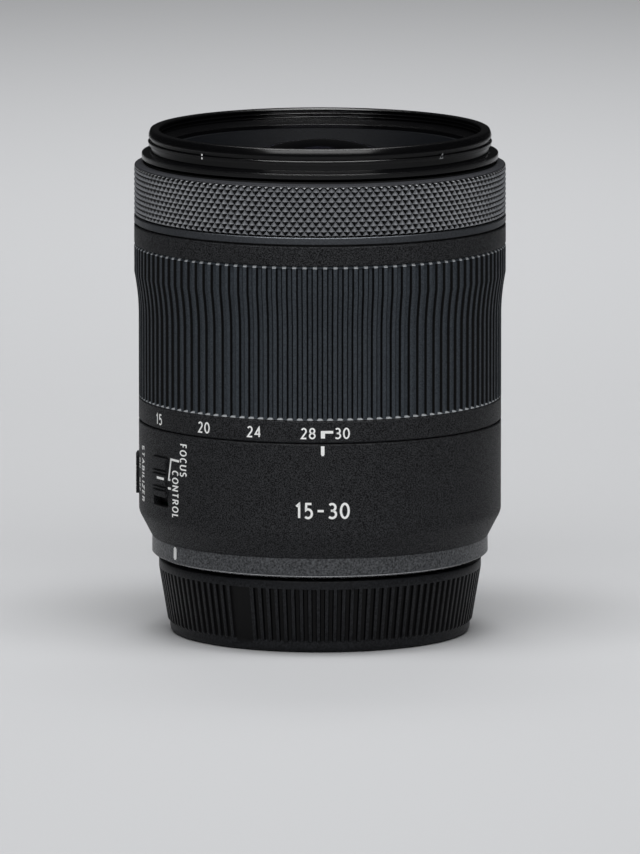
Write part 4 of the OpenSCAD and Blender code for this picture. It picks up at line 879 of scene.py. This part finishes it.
def ribbon(path, width):
    """Flat closed plate of even width along a pen stroke.

    Long straights get extra points, to bend with a barrel."""
    longest = 0.4 * mm
    sharpest = 0.5  # cosine at a bend past which the plate's corner grows no further
    fine = [path[0]]
    for one, two in zip(path, path[1:]):
        parts = math.ceil(math.dist(one, two) / longest)
        fine += [tuple(a + (b - a) * i / parts for a, b in zip(one, two)) for i in range(1, parts + 1)]
    closed = math.dist(fine[0], fine[-1]) < seam
    if closed:
        fine.pop()
    count = len(fine)
    points = []
    for i, here in enumerate(fine):
        near = [fine[k % count] for k in (i - 1, i, i + 1) if closed or 0 <= k < count]
        legs = [(Vector(two) - Vector(one)).normalized() for one, two in zip(near, near[1:])]
        way = sum(legs, Vector((0, 0))).normalized()
        side = Vector((-way.y, way.x)) * width / 2 / max(sharpest, way.dot(legs[0]))
        for out in (-ink_t / 2, ink_t / 2):
            points += [(here[0] + side.x, here[1] + side.y, out), (here[0] - side.x, here[1] - side.y, out)]
    faces = []
    for i in range(count if closed else count - 1):
        a = 4 * i
        b = 4 * ((i + 1) % count)
        faces += [[a + 2, a + 3, b + 3, b + 2], [a, b, b + 1, a + 1]]
        faces += [[a, a + 2, b + 2, b], [a + 1, b + 1, b + 3, a + 3]]
    if not closed:
        end = 4 * (count - 1)
        faces += [[0, 1, 3, 2], [end, end + 2, end + 3, end + 1]]
    return points, faces


def lettering(words, height):
    """Pen strokes of a word as plates, centred on the origin."""
    pen = stroke_share * height
    start = 0.0
    strokes = []
    for letter in words:
        width, paths = characters[letter]
        room = width * height - pen
        for path in paths:
            strokes.append([(start + pen / 2 + x * room, pen / 2 + y * (height - pen)) for x, y in path])
        start += (width + letter_gap) * height
    middle = (start - letter_gap * height) / 2
    return [ribbon([(x - middle, y - height / 2) for x, y in path], pen) for path in strokes]


def wrap(flat, r, side, z, downwards=False):
    """Plate bent round a barrel of radius r. side is the angle in degrees from the front, to the right."""
    points, faces = flat
    bent = []
    for x, y, out in points:
        across, up = (y, -x) if downwards else (x, y)
        angle = math.radians(side) - turn / 4 + across / r
        bent.append(place_on_axis(angle, r + ink_lift + out, z + up))
    return bent, faces


def printed(name, plates, material, body):
    """One piece from several plates."""
    points = []
    faces = []
    for plate_points, plate_faces in plates:
        faces += [[i + len(points) for i in f] for f in plate_faces]
        points += plate_points
    mesh = bpy.data.meshes.new(name)
    mesh.from_pydata(points, [], faces)
    skin = bmesh.new()
    skin.from_mesh(mesh)
    bmesh.ops.recalc_face_normals(skin, faces=skin.faces)
    skin.to_mesh(mesh)
    skin.free()
    return piece(name, mesh, material, body)


def words_on(words, height, r, side, z, downwards=False):
    """Word printed on a barrel."""
    return [wrap(plate, r, side, z, downwards) for plate in lettering(words, height)]


def bar_on(points, width, r, side, z):
    """Printed line on a barrel, with its points in mm to the right of and above a place."""
    return wrap(ribbon([(x * mm, y * mm) for x, y in points], width), r, side, z)


def index_on(bars, r, side, z):
    """Upright index with softened ends, from bars of (low, high, width) in mm, one above another."""
    return [bar_on([(0, low), (0, high)], width * mm, r, side, z) for low, high, width in bars]


# Focal lengths on the zoom ring, with the bold tick that joins the last two
scale_z = scale_low + 2.0 * mm
number_h = 2.35 * mm
scale_marks = []
for words, side in (("15", -62.0), ("20", -39.4), ("24", -21.1), ("28", -3.7), ("30", 7.0)):
    scale_marks += words_on(words, number_h, waist_r, side, scale_z)
scale_marks.append(bar_on([(0.6, -1.0), (0.6, 0.55)], 0.85 * mm, waist_r, 0.0, scale_z))
scale_marks.append(bar_on([(1.0, 0.28), (2.7, 0.28)], 0.55 * mm, waist_r, 0.0, scale_z))
printed("zoom_scale_print", scale_marks, white_ink, "zoom_unit")

# Index and range on the fixed barrel
knob_low, knob_high = span_of("focus_switch")
knob_z = (knob_low + knob_high) / 2
index_side = 0.85
range_side = 0.8
range_h = 3.40 * mm
range_z = barrel_top - 13.77 * mm
barrel_marks = index_on(((-2.2, -0.4, 0.72), (-2.42, -2.2, 0.50)), waist_r, index_side, barrel_top)
barrel_marks += words_on("15-30", range_h, waist_r, range_side, range_z)

# Words at the switches: height, side in degrees, and mm above the middle of the focus knob
word_h = 2.15 * mm
small_word_h = 1.6 * mm
switch_words = (
    ("FOCUS", word_h, -48.5, 4.33), ("CONTROL", word_h, -52.5, -3.02), ("STABILIZER", word_h, -76.7, -0.75),
    ("ON", small_word_h, -83.0, 0.9), ("OFF", small_word_h, -83.0, -3.6))
for words, height, side, up in switch_words:
    barrel_marks += words_on(words, height, waist_r, side, knob_z + up * mm, True)

# Lines that lead from the focus knob's two places to its words
leader_w = 0.46 * mm
leader_side = -55.0
leaders = (
    [(2.9, 4.0), (0.2, 4.1), (-0.72, -0.2)], [(-0.95, -0.2), (-0.1, -0.2)], [(-0.95, -2.0), (0.1, -2.0)])
for points in leaders:
    barrel_marks.append(bar_on(points, leader_w, waist_r, leader_side, knob_z))
printed("barrel_print", barrel_marks, white_ink, "barrel")

# Mark on each switch knob, from its middle to its edge
knob_r = waist_r + 0.6 * mm
knob_mark_w = 0.5 * mm
for switch, side in (("focus", -61.2), ("stabiliser", -92.0)):
    low_z, high_z = span_of(switch + "_switch")
    knob_mark = bar_on([(-0.4, -0.15), (2.5, -0.15)], knob_mark_w, knob_r, side, (low_z + high_z) / 2)
    printed(switch + "_knob_mark", [knob_mark], white_ink, switch + "_slider")

# Mark on the grey ring where the mount lines up with a camera
ring_z = (ring_low + ring_top) / 2
mount_side = -59.1
mount_bars = ((-0.80, 1.30, 1.1), (-1.05, -0.80, 0.7), (1.30, 1.55, 0.7))
mount_index = index_on(mount_bars, ring_r, mount_side, ring_z)
printed("mount_index_print", mount_index, white_ink, "barrel")

# Marks on the front rim where a hood goes on and where it locks
hood_z = front_z - 2.55 * mm
hood_side = -43.0
lock_side = 44.5
hood_mark = bar_on([(0, -0.6), (0, 0.5)], 0.32 * mm, rim_r, hood_side, hood_z)
printed("hood_mark_print", [hood_mark], white_ink, "front_unit")
lock_outline = [(-0.4, -0.5), (0.4, -0.5), (0.4, 0.4), (-0.4, -0.5)]
lock_mark = bar_on(lock_outline, 0.2 * mm, rim_r, lock_side, hood_z)
printed("hood_lock_print", [lock_mark], grey_ink, "front_unit")


# Stage, lights and camera

def softbox(name, place, aim, wide, high, power, spread=180):
    """Soft lamp that faces a point and that the camera does not see. Its spread is in degrees."""
    lamp = bpy.data.lights.new(name, "AREA")
    lamp.spread = math.radians(spread)
    lamp.shape = "RECTANGLE"
    lamp.size = wide
    lamp.size_y = high
    lamp.energy = power
    stand = bpy.data.objects.new(name, lamp)
    stand.location = place
    stand.rotation_mode = "QUATERNION"
    stand.rotation_quaternion = (Vector(aim) - Vector(place)).to_track_quat("-Z", "Y")
    stand.visible_camera = False
    bpy.context.scene.collection.objects.link(stand)


def pale_floor():
    """Plain pale floor."""
    reach = 8.0
    mesh = bpy.data.meshes.new("floor")
    corners = [(-reach, -reach, 0), (reach, -reach, 0), (reach, reach, 0), (-reach, reach, 0)]
    mesh.from_pydata(corners, [], [(0, 1, 2, 3)])
    mesh.materials.append(finish("pale_studio_floor", Roughness=0.9, Base_Color=linear("#b9babc")))
    made = bpy.data.objects.new("floor", mesh)
    bpy.context.scene.collection.objects.link(made)


def soft_world():
    """Faint even light from all round."""
    world = bpy.data.worlds.new("studio")
    bpy.context.scene.world = world
    world.use_nodes = True
    sky = world.node_tree.nodes["Background"]
    sky.inputs["Color"].default_value = linear("#eef0f3")
    sky.inputs["Strength"].default_value = 0.015


pale_floor()
soft_world()
lens_middle = (0, 0, 0.055)
lens_front = (0, -0.04, 0.10)
floor_behind = (0, 0.75, 0)
softbox("overhead_softbox", (0, -0.12, 0.80), lens_front, wide=0.64, high=0.24, power=5.5)
softbox("key_softbox", (0, -0.75, 0.72), lens_middle, wide=1.20, high=0.45, power=6.4)
softbox("backdrop_lamp", (0, 0.75, 0.90), floor_behind, wide=0.50, high=0.70, power=3.0, spread=100)

camera_place = Vector((0, -2.714, 0.4464))
camera_aim = Vector((0, 0, 0.0422))
camera_data = bpy.data.cameras.new("camera")
camera_data.sensor_width = 36
camera_data.lens = 560
camera_data.clip_end = 50
camera = bpy.data.objects.new("camera", camera_data)
camera.location = camera_place
camera.rotation_mode = "QUATERNION"
camera.rotation_quaternion = (camera_aim - camera_place).to_track_quat("-Z", "Y")
bpy.context.scene.collection.objects.link(camera)
bpy.context.scene.camera = camera
bpy.context.scene.view_settings.view_transform = "Standard"
